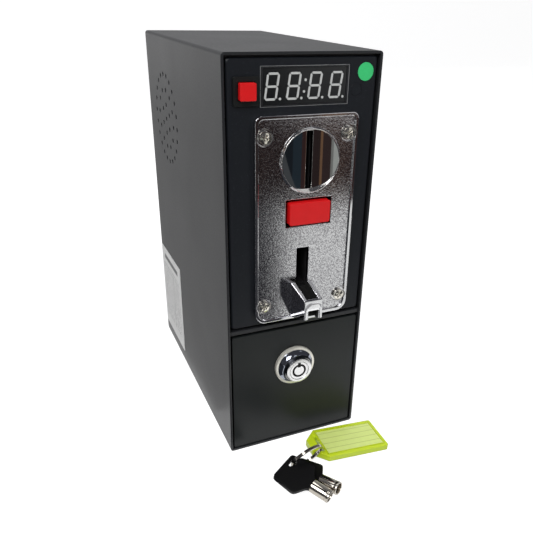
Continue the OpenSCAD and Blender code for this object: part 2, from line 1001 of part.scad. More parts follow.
module spout_channel() {
    tip_d = field_d - spout_l;
    lip_t = 1.8;
    profile(return_x - return_w / 2, return_x + return_w / 2)
        polygon([[plate_back + 1, return_low - 0.5], [tip_d + lip_t + 2, return_low - 9],
            [tip_d + lip_t, return_low - 9], [tip_d + lip_t, return_low + 20],
            [field_d - 0.5, return_low + 20], [plate_back + 1, return_low + 3]]);
    block(return_x - return_w / 2 + 0.5, return_x + return_w / 2 - 0.5, tip_d - 1,
        tip_d + lip_t + 2, return_low - 14, return_low - 6.5);
}

module acceptor_faceplate() {
    color("#c8cacc")
    difference() {
        union() {
            plate(field_d, plate_back, plate_x, plate_z)
                plate_outline(0);
            plate(rim_d, field_d + eps, plate_x, plate_z)
                difference() {
                    plate_outline(0);
                    plate_outline(rim_w);
                }
            spout_body();
        }
        bar_y(rim_d - 1, plate_back + 1, coin_x, entry_z, entry_neck_r + 0.1);
        block(reject_x - pocket_w / 2, reject_x + pocket_w / 2, rim_d - 1,
            plate_back + 1, reject_z - pocket_h / 2, reject_z + pocket_h / 2);
        block(return_x - return_w / 2, return_x + return_w / 2, rim_d - 1,
            plate_back + 1, return_low + 2.5, return_top);
        spout_channel();
        plate_places()
            bar_y(rim_d - 1, plate_back + 1, 0, 0, screw_r + 0.15);
        plate_places()
            bar_y(rim_d - 1, field_d + recess_depth, 0, 0, recess_r);
    }
}

module coin_entry_dish() {
    rim_in = entry_front + 0.4;
    color("#dcdee0")
    difference() {
        turned_y(coin_x, entry_z)
            polygon([[0, entry_front], [entry_r - 0.9, entry_front],
                [entry_r, field_d], [entry_neck_r, field_d], [entry_neck_r, entry_back],
                [0, entry_back]]);
        intersection() {
            bar_y(entry_front - 1, entry_back - 0.8, coin_x, entry_z, entry_face_r);
            bar_z(entry_z - 30, entry_z + 30, coin_x,
                rim_in + hollow_depth - hollow_r, hollow_r);
        }
        block(coin_x - slot_w / 2, coin_x + slot_w / 2, entry_front - 1, entry_back + 1,
            entry_z - slot_l / 2, entry_z + slot_l / 2);
    }
}

module faceplate_fasteners() {
    seat = field_d + recess_depth;
    color("silver") {
        plate_places()
            screw_y(seat, 0, 0, screw_r, 9, plate_head_r, screw_head_h);
        plate_places()
            difference() {
                translate([0, front_y + panel_back + plate_nut_t, 0])
                    rotate([90, 30, 0])
                        linear_extrude(plate_nut_t)
                            circle(plate_nut_r, $fn = 6);
                bar_y(panel_back - 1, panel_back + plate_nut_t + 1, 0, 0,
                    screw_r + run_gap);
            }
    }
}

// ---- Reject button, lever and flap ---------------------------------------

module reject_button() {
    color("#d92a2a")
    union() {
        plate(reject_front, reject_back, reject_x, reject_z)
            round_rect(reject_w, reject_h, 1.2);
        bar_y(reject_back - eps, lever_front - clear, stem_x, stem_z, stem_r);
    }
}

module reject_button_spring() {
    color("silver")
    spring_y(reject_back, pocket_floor, reject_x + 4, reject_z, 4, 0.35, 3);
}

module reject_lever() {
    color("#e8e6df")
    difference() {
        union() {
            bar_z(lever_low - 0.7, lever_high + 0.7, lever_x, lever_d, lever_hub_r);
            block(lever_x, lever_x + lever_reach, lever_front, lever_front + lever_t,
                lever_low, lever_high);
            block(lever_x - lever_t / 2, lever_x + lever_t / 2, lever_d,
                lever_d + lever_arm, lever_low, lever_high);
        }
        bar_z(lever_low - 2, lever_high + 2, lever_x, lever_d, pin_r + run_gap);
    }
}

// The lever's upright pin and the flap's hinge pin
module pivot_pins() {
    color("silver") {
        bar_z(lever_low - 1 - lug_t, lever_high + 1 + lug_t, lever_x, lever_d, pin_r);
        bar_y(guide_back - 3, body_back, flap_hinge_x, flap_hinge_z, pin_r);
    }
}

module acceptor_frame() {
    flange_low = body_low - 3;
    ramp_low = ramp_top - ramp_drop;
    lug_back = lever_d + lever_hub_r + 0.5;
    hinge_r = 2.9;
    color("#17181a")
    difference() {
        union() {
            block(body_x0, body_x1, flange_front, flange_back, flange_low, body_high);
            block(wall_x0, wall_x1, flange_back - eps, body_back, body_low, body_high);
            block(channel_x0 - 1, wall_x1, drop_d, body_back, body_low, body_high);
            block(channel_x0 - low_wall_t, channel_x0, ramp_end, body_back, body_low,
                flap_low - clear);
            block(flap_x0, channel_x0, flange_back - eps, guide_back,
                ramp_top - rib_t, body_high - 5);
            profile(channel_x0 + clear, wall_x0 + eps)
                polygon([[flange_back - eps, ramp_top], [ramp_end, ramp_low],
                    [ramp_end, ramp_low - rib_t], [flange_back - eps, ramp_top - rib_t]]);
            profile(flap_x0, wall_x0 + eps)
                polygon([[flange_back - eps, ramp_top], [guide_back,
                    ramp_top - ramp_drop * (guide_back - flange_back)
                    / (ramp_end - flange_back)], [guide_back, ramp_top - ramp_drop],
                    [flange_back - eps, ramp_top - ramp_drop]]);
            profile(return_x - return_w / 2, wall_x0 + eps)
                polygon([[flange_front, return_low], [ramp_end, return_low + 11],
                    [ramp_end, return_low + 11 - rib_t],
                    [flange_front, return_low - rib_t]]);
            block(flap_x0 - 1.5, wall_x0 + eps, guide_back - 3, guide_back,
                flap_hinge_z - hinge_r, body_high);
            block(flap_x0 - 1.5, wall_x0 + eps, drop_d, body_back,
                flap_hinge_z - hinge_r, body_high);
            block(reject_x - pocket_w / 2 - 1.5, reject_x + pocket_w / 2 + 1.5,
                flange_back - eps, pocket_floor + pocket_floor_t,
                reject_z - pocket_h / 2 - 1.5, reject_z + pocket_h / 2 + 1.5);
            for (z = [lever_low - 1 - lug_t, lever_high + 1])
                block(lever_x - lever_hub_r, lever_x + lever_hub_r, flange_back - eps,
                    lug_back, z, z + lug_t);
            for (d = [acc_board_front + 4, acc_board_back - 4],
                z = [acc_board_low + 4, acc_board_high - 4])
                bar_x(wall_x1 - eps, acc_board_x, d, z, post_r);
        }
        bar_y(flange_front - 1, entry_back + 0.6, coin_x, entry_z, entry_neck_r + 0.4);
        block(channel_x0, wall_x0, flange_front - 1, guide_back + 1,
            ramp_top, ramp_top + coin_d + 2.5);
        block(reject_x - pocket_w / 2, reject_x + pocket_w / 2, flange_front - 1,
            pocket_floor, reject_z - pocket_h / 2, reject_z + pocket_h / 2);
        bar_y(pocket_floor - 1, pocket_floor + pocket_floor_t + 1, stem_x, stem_z,
            stem_r + clear);
        block(return_x - return_w / 2, return_x + return_w / 2, flange_front - 1,
            flange_back + 1, return_low, return_top);
        bar_y(guide_back - 4, body_back + 1, flap_hinge_x, flap_hinge_z, pin_r);
        bar_z(lever_low - 5, lever_high + 5, lever_x, lever_d, pin_r);
        profile(wall_x0 - 1, wall_x1 + 1)
            gate_strip(0.4);
    }
}

module reject_flap() {
    color("#3c6fb4")
    difference() {
        union() {
            block(flap_x0, flap_x1, flap_front, flap_back, flap_low, flap_hinge_z);
            bar_y(flap_front, flap_back, flap_hinge_x, flap_hinge_z, flap_hub_r);
            block(ear_x1 - ear_t, flap_x0 + eps, ear_d, ear_d + ear_w,
                ear_high - bridge_t, ear_high);
            block(ear_x1 - ear_t, ear_x1, ear_d, ear_d + ear_w, ear_low, ear_high);
        }
        bar_y(flap_front - 1, flap_back + 1, flap_hinge_x, flap_hinge_z,
            pin_r + run_gap);
    }
}

module coin_sensors() {
    color("#b5651d") {
        for (place = sensor_places)
            bar_x(wall_x1, wall_x1 + sensor_t, place[0], place[1], sensor_r);
    }
}

module acceptor_board() {
    color("darkgreen")
    union() {
        block(acc_board_x, acc_board_x + board_t, acc_board_front, acc_board_back,
            acc_board_low, acc_board_high);
        block(acc_board_x + board_t - eps, acc_board_x + board_t + 7,
            acc_board_back - 12, acc_board_back - 3, acc_board_low + 8,
            acc_board_low + 26);
        block(acc_board_x + board_t - eps, acc_board_x + board_t + 2, acc_board_front + 14,
            acc_board_front + 26, acc_board_low + 24, acc_board_low + 36);
    }
}

// ---- Solenoid and gate ---------------------------------------------------

// The sloping strip that turns a coin forward, drawn in depth and height
module gate_strip(grow) {
    polygon([[gate_low_d - grow, gate_low_z - grow - 0.3],
        [gate_high_d + grow, gate_high_z - grow],
        [gate_high_d + grow, gate_high_z + gate_t + grow],
        [gate_low_d - grow, gate_low_z + gate_t + grow]]);
}

module solenoid_bracket() {
    half = carrier_w / 2 + 1;
    color("silver")
    difference() {
        union() {
            block(wall_x1, sol_x1, gate_d - half, gate_d + half, sol_low,
                sol_low + bracket_t);
            for (x = [sol_x0, sol_x1 - bracket_t])
                block(x, x + bracket_t, gate_d - half, gate_d + half, sol_low, sol_high);
        }
        bar_x(sol_x0 - 1, sol_x0 + bracket_t + 1, gate_d, gate_z, plunger_r + clear);
    }
}

module solenoid_coil() {
    color("#b5651d")
    difference() {
        bar_x(sol_x0 + bracket_t, sol_x1 - bracket_t, gate_d, gate_z, sol_r);
        bar_x(sol_x0, sol_x1 - bracket_t - 1, gate_d, gate_z, plunger_r + clear);
    }
}

module solenoid_plunger() {
    color("silver")
    bar_x(carrier_x + carrier_t, sol_x1 - bracket_t - 1 - gate_travel - clear, gate_d,
        gate_z, plunger_r);
}

module accept_gate() {
    color("#e8e6df")
    union() {
        block(carrier_x, carrier_x + carrier_t, gate_d - carrier_w / 2,
            gate_d + carrier_w / 2, sol_low + bracket_t + clear, sol_high - clear);
        profile(channel_x0 + clear, carrier_x + carrier_t - eps)
            gate_strip(0);
    }
}

module coin_chute() {
    x0 = coin_x - chute_w / 2;
    x1 = coin_x + chute_w / 2;
    color("#2b2d2f")
    difference() {
        union() {
            block(x0 - chute_wall, x1 + chute_wall, chute_front - chute_wall,
                chute_back + chute_wall, chute_low, chute_high);
            block(x0 - chute_wall - chute_flange_w, x1 + chute_wall + chute_flange_w,
                chute_front - chute_wall - 2, chute_back + chute_wall + 2, shelf_z,
                shelf_z + sheet_t);
        }
        block(x0, x1, chute_front, chute_back, chute_low - 1, chute_high + 1);
    }
}

// ---- Cash drawer ---------------------------------------------------------

module drawer_front() {
    mid = (door_low + door_high) / 2;
    h = door_high - door_low;
    color("#232526")
    difference() {
        plate(door_inset, door_inset + door_pan, 0, mid)
            round_rect(door_w, h, door_corner_r);
        block(-door_w / 2 + door_t, door_w / 2 - door_t, door_back,
            door_inset + door_pan + 1, door_low + door_t, door_high - door_t);
        bar_y(door_inset - 1, door_back + 1, lock_x, lock_z, barrel_r + 0.1);
        tray_screw_places()
            bar_x(tray_x - tray_t, door_w / 2 + 1, 0, 0, tray_screw_r);
    }
}

module tray_screw_places() {
    for (m = [0, 1], z = [tray_screw_low, tray_screw_high])
        mirror([m, 0, 0])
            translate([0, tray_screw_d, z])
                children();
}

module drawer_tray() {
    color("#9a9da0")
    difference() {
        block(-tray_x, tray_x, door_back, tray_back, tray_low, tray_high);
        block(-tray_x + tray_t, tray_x - tray_t, door_back + tray_t, tray_back - tray_t,
            tray_low + tray_t, tray_high + 1);
        bar_y(door_back - 1, door_back + tray_t + 1, lock_x, lock_z, barrel_r + 0.1);
        tray_screw_places()
            bar_x(tray_x - 2 * tray_t, tray_x + 1, 0, 0, tray_screw_r);
    }
}

module tray_screws() {
    color("silver")
    tray_screw_places() {
        bar_x(tray_x - tray_t - 2, tray_x - tray_t, 0, 0, tray_screw_head);
        bar_x(tray_x - tray_t - eps, door_w / 2 - 0.2, 0, 0, tray_screw_r);
    }
}

module drawer_glides() {
    color("#e8e6df")
    for (sx = [-1, 1])
        block(sx * glide_x - glide_w / 2, sx * glide_x + glide_w / 2, glide_front,
            rear_d - sheet_t, sheet_t, sheet_t + glide_t);
}

module drawer_guides() {
    color("silver")
    for (m = [0, 1])
        mirror([m, 0, 0]) {
            block(in_x - guide_leg, in_x, guide_front, tray_back + 4, guide_low,
                guide_low + guide_t);
            block(in_x - guide_t, in_x, guide_front, tray_back + 4,
                guide_low, guide_low + guide_leg);
        }
}

// ---- Lock ----------------------------------------------------------------

module lock_strike() {
    color("silver")
    union() {
        block(lock_x - strike_w / 2, lock_x + strike_w / 2, strike_back - strike_t,
            strike_back, strike_low, shelf_low);
        block(lock_x - strike_w / 2, lock_x + strike_w / 2, strike_back - eps,
            strike_back + strike_foot, shelf_low - strike_t, shelf_low);
    }
}

module lock_body() {
    bore = plug_r + run_gap;
    color("#c8cacc")
    turned_y(lock_x, lock_z)
        polygon([[bore, lock_front + 0.3], [bore + 0.3, lock_front], [face_r - 0.4, lock_front],
            [face_r, lock_front + 0.4], [face_r + 0.4, collar_d - 2.2],
            [flange_r - 0.6, collar_d], [flange_r, collar_d + 0.6],
            [flange_r, door_inset], [barrel_r, door_inset], [barrel_r, barrel_back],
            [bore, barrel_back]]);
}

module lock_plug() {
    color("#b8babc")
    difference() {
        union() {
            bar_y(lock_front + 0.2, barrel_back, lock_x, lock_z, plug_r);
            block(lock_x - square_w / 2, lock_x + square_w / 2, barrel_back - eps,
                cam_back - 0.2, lock_z - square_w / 2, lock_z + square_w / 2);
        }
        difference() {
            bar_y(lock_front - 1, lock_front + keyway_depth, lock_x, lock_z, keyway_r);
            bar_y(lock_front - 2, lock_front + keyway_depth + 1, lock_x, lock_z,
                keyway_in_r);
        }
        block(lock_x - notch_w / 2, lock_x + notch_w / 2, lock_front - 1,
            lock_front + keyway_depth, lock_z + keyway_in_r + 0.2, lock_z + plug_r - 0.4);
        bar_y(barrel_back - 4, cam_back + 1, lock_x, lock_z, cam_screw_r);
    }
}

module lock_nut() {
    color("silver")
    difference() {
        translate([lock_x, front_y + nut_front + nut_t, lock_z])
            rotate([90, 0, 0])
                linear_extrude(nut_t)
                    circle(nut_r, $fn = 6);
        bar_y(nut_front - 1, nut_front + nut_t + 1, lock_x, lock_z, barrel_r);
    }
}

module lock_cam() {
    hole = square_w + 0.1;
    color("silver")
    difference() {
        union() {
            bar_y(cam_front, cam_back, lock_x, lock_z, cam_hub_r);
            bar_y(cam_front, cam_back, lock_x - cam_l + cam_tip_r, lock_z, cam_tip_r);
            block(lock_x - cam_l + cam_tip_r, lock_x, cam_front, cam_back,
                lock_z - cam_tip_r, lock_z + cam_tip_r);
        }
        block(lock_x - hole / 2, lock_x + hole / 2, cam_front - 1, cam_back + 1,
            lock_z - hole / 2, lock_z + hole / 2);
    }
}

module cam_screw() {
    color("#8c8f91")
    union() {
        bar_y(cam_back, cam_back + 2.4, lock_x, lock_z, cam_screw_head);
        bar_y(barrel_back - 3.5, cam_back + eps, lock_x, lock_z, cam_screw_r);
    }
}

// ---- Rear fittings -------------------------------------------------------

module fitting_body(z) {
    block(fit_x - fit_w / 2, fit_x + fit_w / 2, rear_face, rear_face + fit_t,
        z - fit_h / 2, z + fit_h / 2);
    block(fit_x - fit_body_w / 2, fit_x + fit_body_w / 2, rear_face - fit_depth,
        rear_face + eps, z - fit_body_h / 2, z + fit_body_h / 2);
}

module fitting_screw_holes(z) {
    for (sx = [-1, 1])
        bar_y(rear_face - 1, rear_face + fit_t + 1, fit_x + sx * fit_screw_x, z, 1.7);
}

module mains_inlet() {
    hollow_w = 24;
    hollow_h = 16.4;
    hollow_d = 17;
    color("#141516")
    union() {
        difference() {
            fitting_body(inlet_z);
            fitting_screw_holes(inlet_z);
            block(fit_x - hollow_w / 2, fit_x + hollow_w / 2,
                rear_face + fit_t - hollow_d, rear_face + fit_t + 1,
                inlet_z - hollow_h / 2, inlet_z + hollow_h / 2);
        }
        for (k = [-1, 0, 1])
            block(fit_x + k * blade_dx - blade_t / 2, fit_x + k * blade_dx + blade_t / 2,
                rear_face + fit_t - hollow_d - eps, rear_face - 2,
                inlet_z + (k == 0 ? 2 : -2) - blade_w / 2,
                inlet_z + (k == 0 ? 2 : -2) + blade_w / 2);
    }
}

module power_outlet() {
    color("#141516")
    difference() {
        fitting_body(outlet_z);
        fitting_screw_holes(outlet_z);
        for (k = [-1, 0, 1])
            block(fit_x + k * blade_dx - blade_t / 2 - 0.3,
                fit_x + k * blade_dx + blade_t / 2 + 0.3, rear_face - 14,
                rear_face + fit_t + 1, outlet_z + (k == 0 ? 2 : -2) - blade_w / 2 - 0.3,
                outlet_z + (k == 0 ? 2 : -2) + blade_w / 2 + 0.3);
    }
}

module switch_body() {
    hole_w = rocker_w + 2 * clear;
    hole_h = rocker_h + 1.6;
    color("#141516")
    difference() {
        union() {
            block(fit_x - switch_w / 2, fit_x + switch_w / 2, rear_face,
                rear_face + switch_rim, switch_z - switch_h / 2, switch_z + switch_h / 2);
            block(fit_x - switch_w / 2 + 1, fit_x + switch_w / 2 - 1,
                rear_face - switch_depth, rear_face + eps,
                switch_z - switch_h / 2 + 1, switch_z + switch_h / 2 - 1);
        }
        block(fit_x - hole_w / 2, fit_x + hole_w / 2, rear_face - 6,
            rear_face + switch_rim + 1, switch_z - hole_h / 2, switch_z + hole_h / 2);
        bar_x(fit_x - switch_w / 2 + 1.2, fit_x + switch_w / 2 - 1.2, rocker_d, switch_z,
            1.2 + run_gap);
    }
}

module switch_rocker() {
    color("#b01c1c")
    translate([fit_x, front_y + rocker_d, switch_z])
        rotate([-rocker_tilt, 0, 0])
            union() {
                translate([-rocker_w / 2, -rocker_t / 2, -rocker_h / 2])
                    cube([rocker_w, rocker_t, rocker_h]);
                rotate([0, 90, 0])
                    cylinder(h = switch_w - 2.8, r = 1.2, center = true);
            }
}

// ---- Supply, boards and speaker ------------------------------------------

module transformer_core() {
    foot_w = core_w + 16;
    color("#6e7073")
    difference() {
        union() {
            block(-core_w / 2, core_w / 2, core_front, core_front + core_d,
                shelf_z + foot_t, shelf_z + foot_t + core_h);
            block(-foot_w / 2, foot_w / 2, core_front, core_front + core_d, shelf_z,
                shelf_z + foot_t + eps);
        }
        for (sx = [-1, 1])
            block(sx * core_w / 4 - core_w / 12, sx * core_w / 4 + core_w / 12,
                core_front - 1, core_front + core_d + 1, shelf_z + foot_t + 8,
                shelf_z + foot_t + core_h - 8);
        for (sx = [-1, 1])
            bar_z(shelf_z - 1, shelf_z + foot_t + 1, sx * (core_w / 2 + 4.5),
                core_front + core_d / 2, 2);
    }
}

module transformer_winding() {
    mid = core_front + core_d / 2;
    low = shelf_z + foot_t + 8.2;
    high = shelf_z + foot_t + core_h - 8.2;
    reach = core_w / 3 - 0.3;
    core_half = core_w / 6 + 0.1;
    color("#c98f3a")
    difference() {
        block(-reach, reach, mid - winding_d / 2, mid + winding_d / 2, low, high);
        block(-core_half, core_half, core_front - 0.1, core_front + core_d + 0.1,
            low - 1, high + 1);
    }
}

module board_corners() {
    for (d = [main_board_front + standoff_inset, main_board_back - standoff_inset],
        z = [main_board_low + standoff_inset, main_board_high - standoff_inset])
        translate([0, d, z])
            children();
}

module main_board() {
    color("darkgreen")
    difference() {
        block(main_board_x, main_board_x + board_t, main_board_front, main_board_back,
            main_board_low, main_board_high);
        board_corners()
            bar_x(main_board_x - 1, main_board_x + board_t + 1, 0, 0, 1.6);
    }
}

module board_standoffs() {
    color("silver")
    board_corners() {
        bar_x(main_board_x + board_t, in_x, 0, 0, standoff_r);
        bar_x(main_board_x - 2, main_board_x + board_t + eps, 0, 0, 1.5);
    }
}

// Part on the main board: its corner from the board's, then its depth, height and reach
module board_box(at, size) {
    d = main_board_front + at[0];
    z = main_board_low + at[1];
    block(main_board_x - size[2], main_board_x, d, d + size[0], z, z + size[1]);
}

// Relay, terminal strip, capacitors and controller on the main board
module board_parts() {
    color("#2b4f9e") {
        board_box(relay_at, relay_size);
        board_box(strip_at, strip_size);
        board_box(chip_at, chip_size);
        board_box(socket_at, socket_size);
        for (k = [0, 1])
            bar_x(main_board_x - capacitor_h, main_board_x,
                main_board_front + capacitor_at[0] + k * capacitor_pitch,
                main_board_low + capacitor_at[1], capacitor_r);
    }
}

module speaker_basket() {
    x0 = -in_x;
    back = x0 + cone_depth + 3;
    color("#3a3c3e")
    union() {
        turned_x(x0, grille_d, grille_z)
            polygon([[cone_r + 0.5, 0], [speaker_r, 0], [speaker_r, basket_t],
                [cone_r + 0.5 + basket_t, basket_t], [magnet_r, cone_depth + 3],
                [magnet_r, cone_depth + 3 + magnet_t], [0, cone_depth + 3 + magnet_t],
                [0, cone_depth + 3], [magnet_r - basket_t - 0.4, cone_depth + 3]]);
    }
}

module speaker_cone() {
    color("#1a1b1c")
    turned_x(-in_x, grille_d, grille_z)
        polygon([[cone_r - 1, 0.4], [cone_r - 2.2, 0.4], [cone_in_r, cone_depth - 1],
            [0, cone_depth - 3], [0, cone_depth + 2.7], [cone_in_r, cone_depth + 2.7],
            [cone_in_r + 0.9, cone_depth + 0.4], [cone_r - 1, 1]]);
}

// ---- Keys ----------------------------------------------------------------

// The two keys, each at its tip's place and by its heading, pitch and roll
module key_places() {
    for (key = [[key_1, key_1_turn], [key_2, key_2_turn]])
        translate([key[0][0], front_y + key[0][1], key[0][2]])
            rotate([0, 0, key[1][0]])
                rotate([key[1][2], -key[1][1], 0])
                    children();
}

// Wire of the ring, fattened by a gap
module ring_wire(gap) {
    translate([ring_at[0], front_y + ring_at[1], ring_at[2]])
        rotate([0, 0, ring_turn])
            rotate([-ring_tilt, 0, 0])
                rotate_extrude()
                    translate([ring_r, 0])
                        circle(ring_wire_r + gap, $fn = 24);
}

// One side of a bow: neck, shoulder and far corner, each rounded by short chords
function bow_side(s) = [[key_len, s * (key_r - 0.4)], [key_len + 1, s * key_r],
    [key_len + 2.2, s * (key_r + 1)], [key_len + bow_shoulder - 1.6, s * (bow_w / 2 - 1.9)],
    [key_len + bow_shoulder - 0.4, s * (bow_w / 2 - 0.5)],
    [key_len + bow_shoulder + 1.2, s * bow_w / 2],
    [key_len + bow_l - bow_corner, s * (bow_end_w / 2 + 0.1)],
    [key_len + bow_l - 0.6, s * (bow_end_w / 2 - 0.6)],
    [key_len + bow_l, s * (bow_end_w / 2 - bow_corner)]];

module bow_outline() {
    right = bow_side(-1);
    left = bow_side(1);
    last = len(left) - 1;
    polygon(concat(right, [for (i = [0:last]) left[last - i]]));
}

module key_bow() {
    translate([0, 0, -bow_t / 2])
        linear_extrude(bow_t)
            bow_outline();
    rotate([0, 90, 0])
        translate([0, 0, key_len - tang_l])
            cylinder(h = tang_l + 1, r = tang_r);
}

// Slot for the ring, along the bow's far edge
module bow_hole() {
    translate([key_len + bow_l - 2.4 - bow_hole_w / 2, -bow_end_w / 2 + 2 + bow_hole_l / 2,
        -bow_t])
        linear_extrude(2 * bow_t)
            round_rect(bow_hole_w, bow_hole_l, bow_hole_w / 2 - eps);
}

module key_bows() {
    color("#1b1c1d")
    difference() {
        key_places()
            difference() {
                key_bow();
                bow_hole();
            }
        ring_wire(ring_gap);
    }
}

// Tube with a collar at its tip, and the bow's tang in its other end
module key_barrel() {
    rotate([0, 90, 0])
        rotate_extrude()
            polygon([[key_r - bore_wall, 0], [key_r + collar_rise - 0.3, 0],
                [key_r + collar_rise, 0.3], [key_r + collar_rise, collar_l],
                [key_r - 0.3, collar_l], [key_r - 0.3, collar_l + groove_w],
                [key_r, collar_l + groove_w], [key_r, key_len], [tang_r, key_len],
                [tang_r, key_len - tang_l], [0, key_len - tang_l], [0, bore_l],
                [key_r - bore_wall, bore_l]]);
}

module key_barrels() {
    color("silver")
    key_places()
        key_barrel();
}

module key_ring() {
    color("silver")
    ring_wire(0);
}

// The tag lies with its far end on the surface and its ring end raised
module tag_place() {
    lift = asin(tag_rise / tag_l);
    translate([tag_at[0], front_y + tag_at[1], tag_at[2]])
        rotate([0, 0, 180 + tag_turn])
            rotate([0, -lift, 0])
                children();
}

module tag_outline(inset) {
    half = tag_w / 2 - inset;
    end = tag_l - inset;
    r = 1;
    polygon([[inset, -half + r], [inset + 0.3, -half + 0.3], [inset + r, -half],
        [end - tag_cut, -half], [end, -half + tag_cut], [end, half - tag_cut],
        [end - tag_cut, half], [inset + r, half], [inset + 0.3, half - 0.3],
        [inset, half - r]]);
}

module key_tag_case() {
    color([0.78, 0.86, 0.16, 0.8])
    difference() {
        tag_place()
            difference() {
                linear_extrude(tag_t)
                    tag_outline(0);
                translate([2.5, -insert_w / 2 - 0.2, tag_t - 1 - insert_t])
                    cube([insert_l + 0.4, insert_w + 0.4, insert_t + 0.2]);
                translate([tag_slot_x - tag_slot_w / 2, -tag_slot_l / 2, -1])
                    cube([tag_slot_w, tag_slot_l, tag_t + 2]);
            }
        ring_wire(ring_gap);
    }
}

module key_tag_insert() {
    color("#dfe8a0")
    tag_place()
        translate([2.7, -insert_w / 2, tag_t - 0.9 - insert_t])
            cube([insert_l, insert_w, insert_t]);
}

case_shell();
rear_panel();
rear_panel_screws();
mid_shelf();
front_panel();
panel_brackets();
panel_screws();
display_bezel();
display_module();
display_segments();
display_board();
set_button_housing();
set_button_cap();
set_button_spring();
dot_sticker();
rating_label();
acceptor_faceplate();
coin_entry_dish();
faceplate_fasteners();
reject_button();
reject_button_spring();
reject_lever();
pivot_pins();
acceptor_frame();
reject_flap();
coin_sensors();
acceptor_board();
solenoid_bracket();
solenoid_coil();
solenoid_plunger();
accept_gate();
coin_chute();
drawer_front();
drawer_tray();
tray_screws();
drawer_glides();
drawer_guides();
lock_strike();
lock_body();
lock_plug();
lock_nut();
lock_cam();
cam_screw();
mains_inlet();
power_outlet();
switch_body();
switch_rocker();
transformer_core();
transformer_winding();
main_board();
board_parts();
board_standoffs();
speaker_basket();
speaker_cone();
key_bows();
key_barrels();
key_ring();
key_tag_case();
key_tag_insert();
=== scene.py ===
"""Looks of the coin-operated control box: materials, small bright pieces, stage, lamps and camera.

Places are given in millimetres: x across, d in depth from the case's front edge, z up.
"""
import json
import math

import bmesh
import bpy
import numpy as np
from mathutils import Matrix, Vector


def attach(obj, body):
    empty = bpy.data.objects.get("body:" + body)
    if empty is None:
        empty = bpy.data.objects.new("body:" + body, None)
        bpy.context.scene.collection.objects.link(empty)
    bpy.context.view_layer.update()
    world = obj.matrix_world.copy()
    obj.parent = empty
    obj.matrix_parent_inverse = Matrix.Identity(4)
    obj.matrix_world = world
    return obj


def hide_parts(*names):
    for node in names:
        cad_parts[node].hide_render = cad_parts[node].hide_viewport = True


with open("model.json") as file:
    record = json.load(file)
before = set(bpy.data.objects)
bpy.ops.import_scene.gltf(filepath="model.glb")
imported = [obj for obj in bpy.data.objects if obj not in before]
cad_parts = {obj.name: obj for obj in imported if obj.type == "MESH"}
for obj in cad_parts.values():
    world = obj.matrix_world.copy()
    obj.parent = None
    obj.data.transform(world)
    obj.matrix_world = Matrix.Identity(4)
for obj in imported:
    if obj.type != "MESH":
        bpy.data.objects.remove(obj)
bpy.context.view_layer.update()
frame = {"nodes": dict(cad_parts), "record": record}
nodes = frame["nodes"]
MM = 0.001
FY = -0.093  # the case's front edge, in metres

# the camera fitted to the photo
PHOTO_PX = 533
FOCAL_PX = 592.611
CENTRE_PX = (291.878, 300.058)
CAMERA_TURN = (24.503, 27.19, 1.656)  # azimuth, elevation and roll in degrees
CAMERA_AT = (-0.144058, -0.399507, 0.283966)
SENSOR = 36.0

# places on the coin plate, as in part.scad
RETURN_X, RETURN_W, RETURN_LOW = 1.2, 8.0, 119.0
FIELD_D, TIP_D, LIP_T, SPOUT_RISE = -1.5, -20.0, 1.8, 4.5
PLATE_X, PLATE_Z = 1.8, 162.6
PLATE_SCREW_X, PLATE_SCREW_Z = 26, 52
LOCK_X, LOCK_Z = -1, 61
DISPLAY_X, DISPLAY_Z = 0.6, 240.6
KEYS = (((-4.9, -68, 4.6), (123, 9.6, -5.2)), ((3.1, -64.2, 5.23), (121.5, -4, 3.7)))


def P(x, d, z):
    """A place in metres from millimetres across, in depth from the case's front edge, and up."""
    return Vector((x * MM, FY + d * MM, z * MM))


# ---------------------------------------------------------------- camera
def make_camera():
    """The photo's camera, from the values fitted to the case's corners."""
    az, el, roll = (math.radians(a) for a in CAMERA_TURN)
    fwd = Vector((math.sin(az) * math.cos(el), math.cos(az) * math.cos(el), -math.sin(el)))
    right = Vector((math.cos(az), -math.sin(az), 0.0))
    up = right.cross(fwd)
    r = right * math.cos(roll) + up * math.sin(roll)
    u = -right * math.sin(roll) + up * math.cos(roll)
    m = Matrix((r, u, -fwd)).transposed().to_4x4()
    m.translation = Vector(CAMERA_AT)
    cam = bpy.data.cameras.new("camera")
    cam.sensor_width = SENSOR
    cam.lens = FOCAL_PX / PHOTO_PX * SENSOR
    cam.shift_x = -(CENTRE_PX[0] - PHOTO_PX / 2) / PHOTO_PX
    cam.shift_y = (CENTRE_PX[1] - PHOTO_PX / 2) / PHOTO_PX
    cam.clip_start = 0.01
    o = bpy.data.objects.new("camera", cam)
    bpy.context.collection.objects.link(o)
    o.matrix_world = m
    bpy.context.scene.camera = o


make_camera()


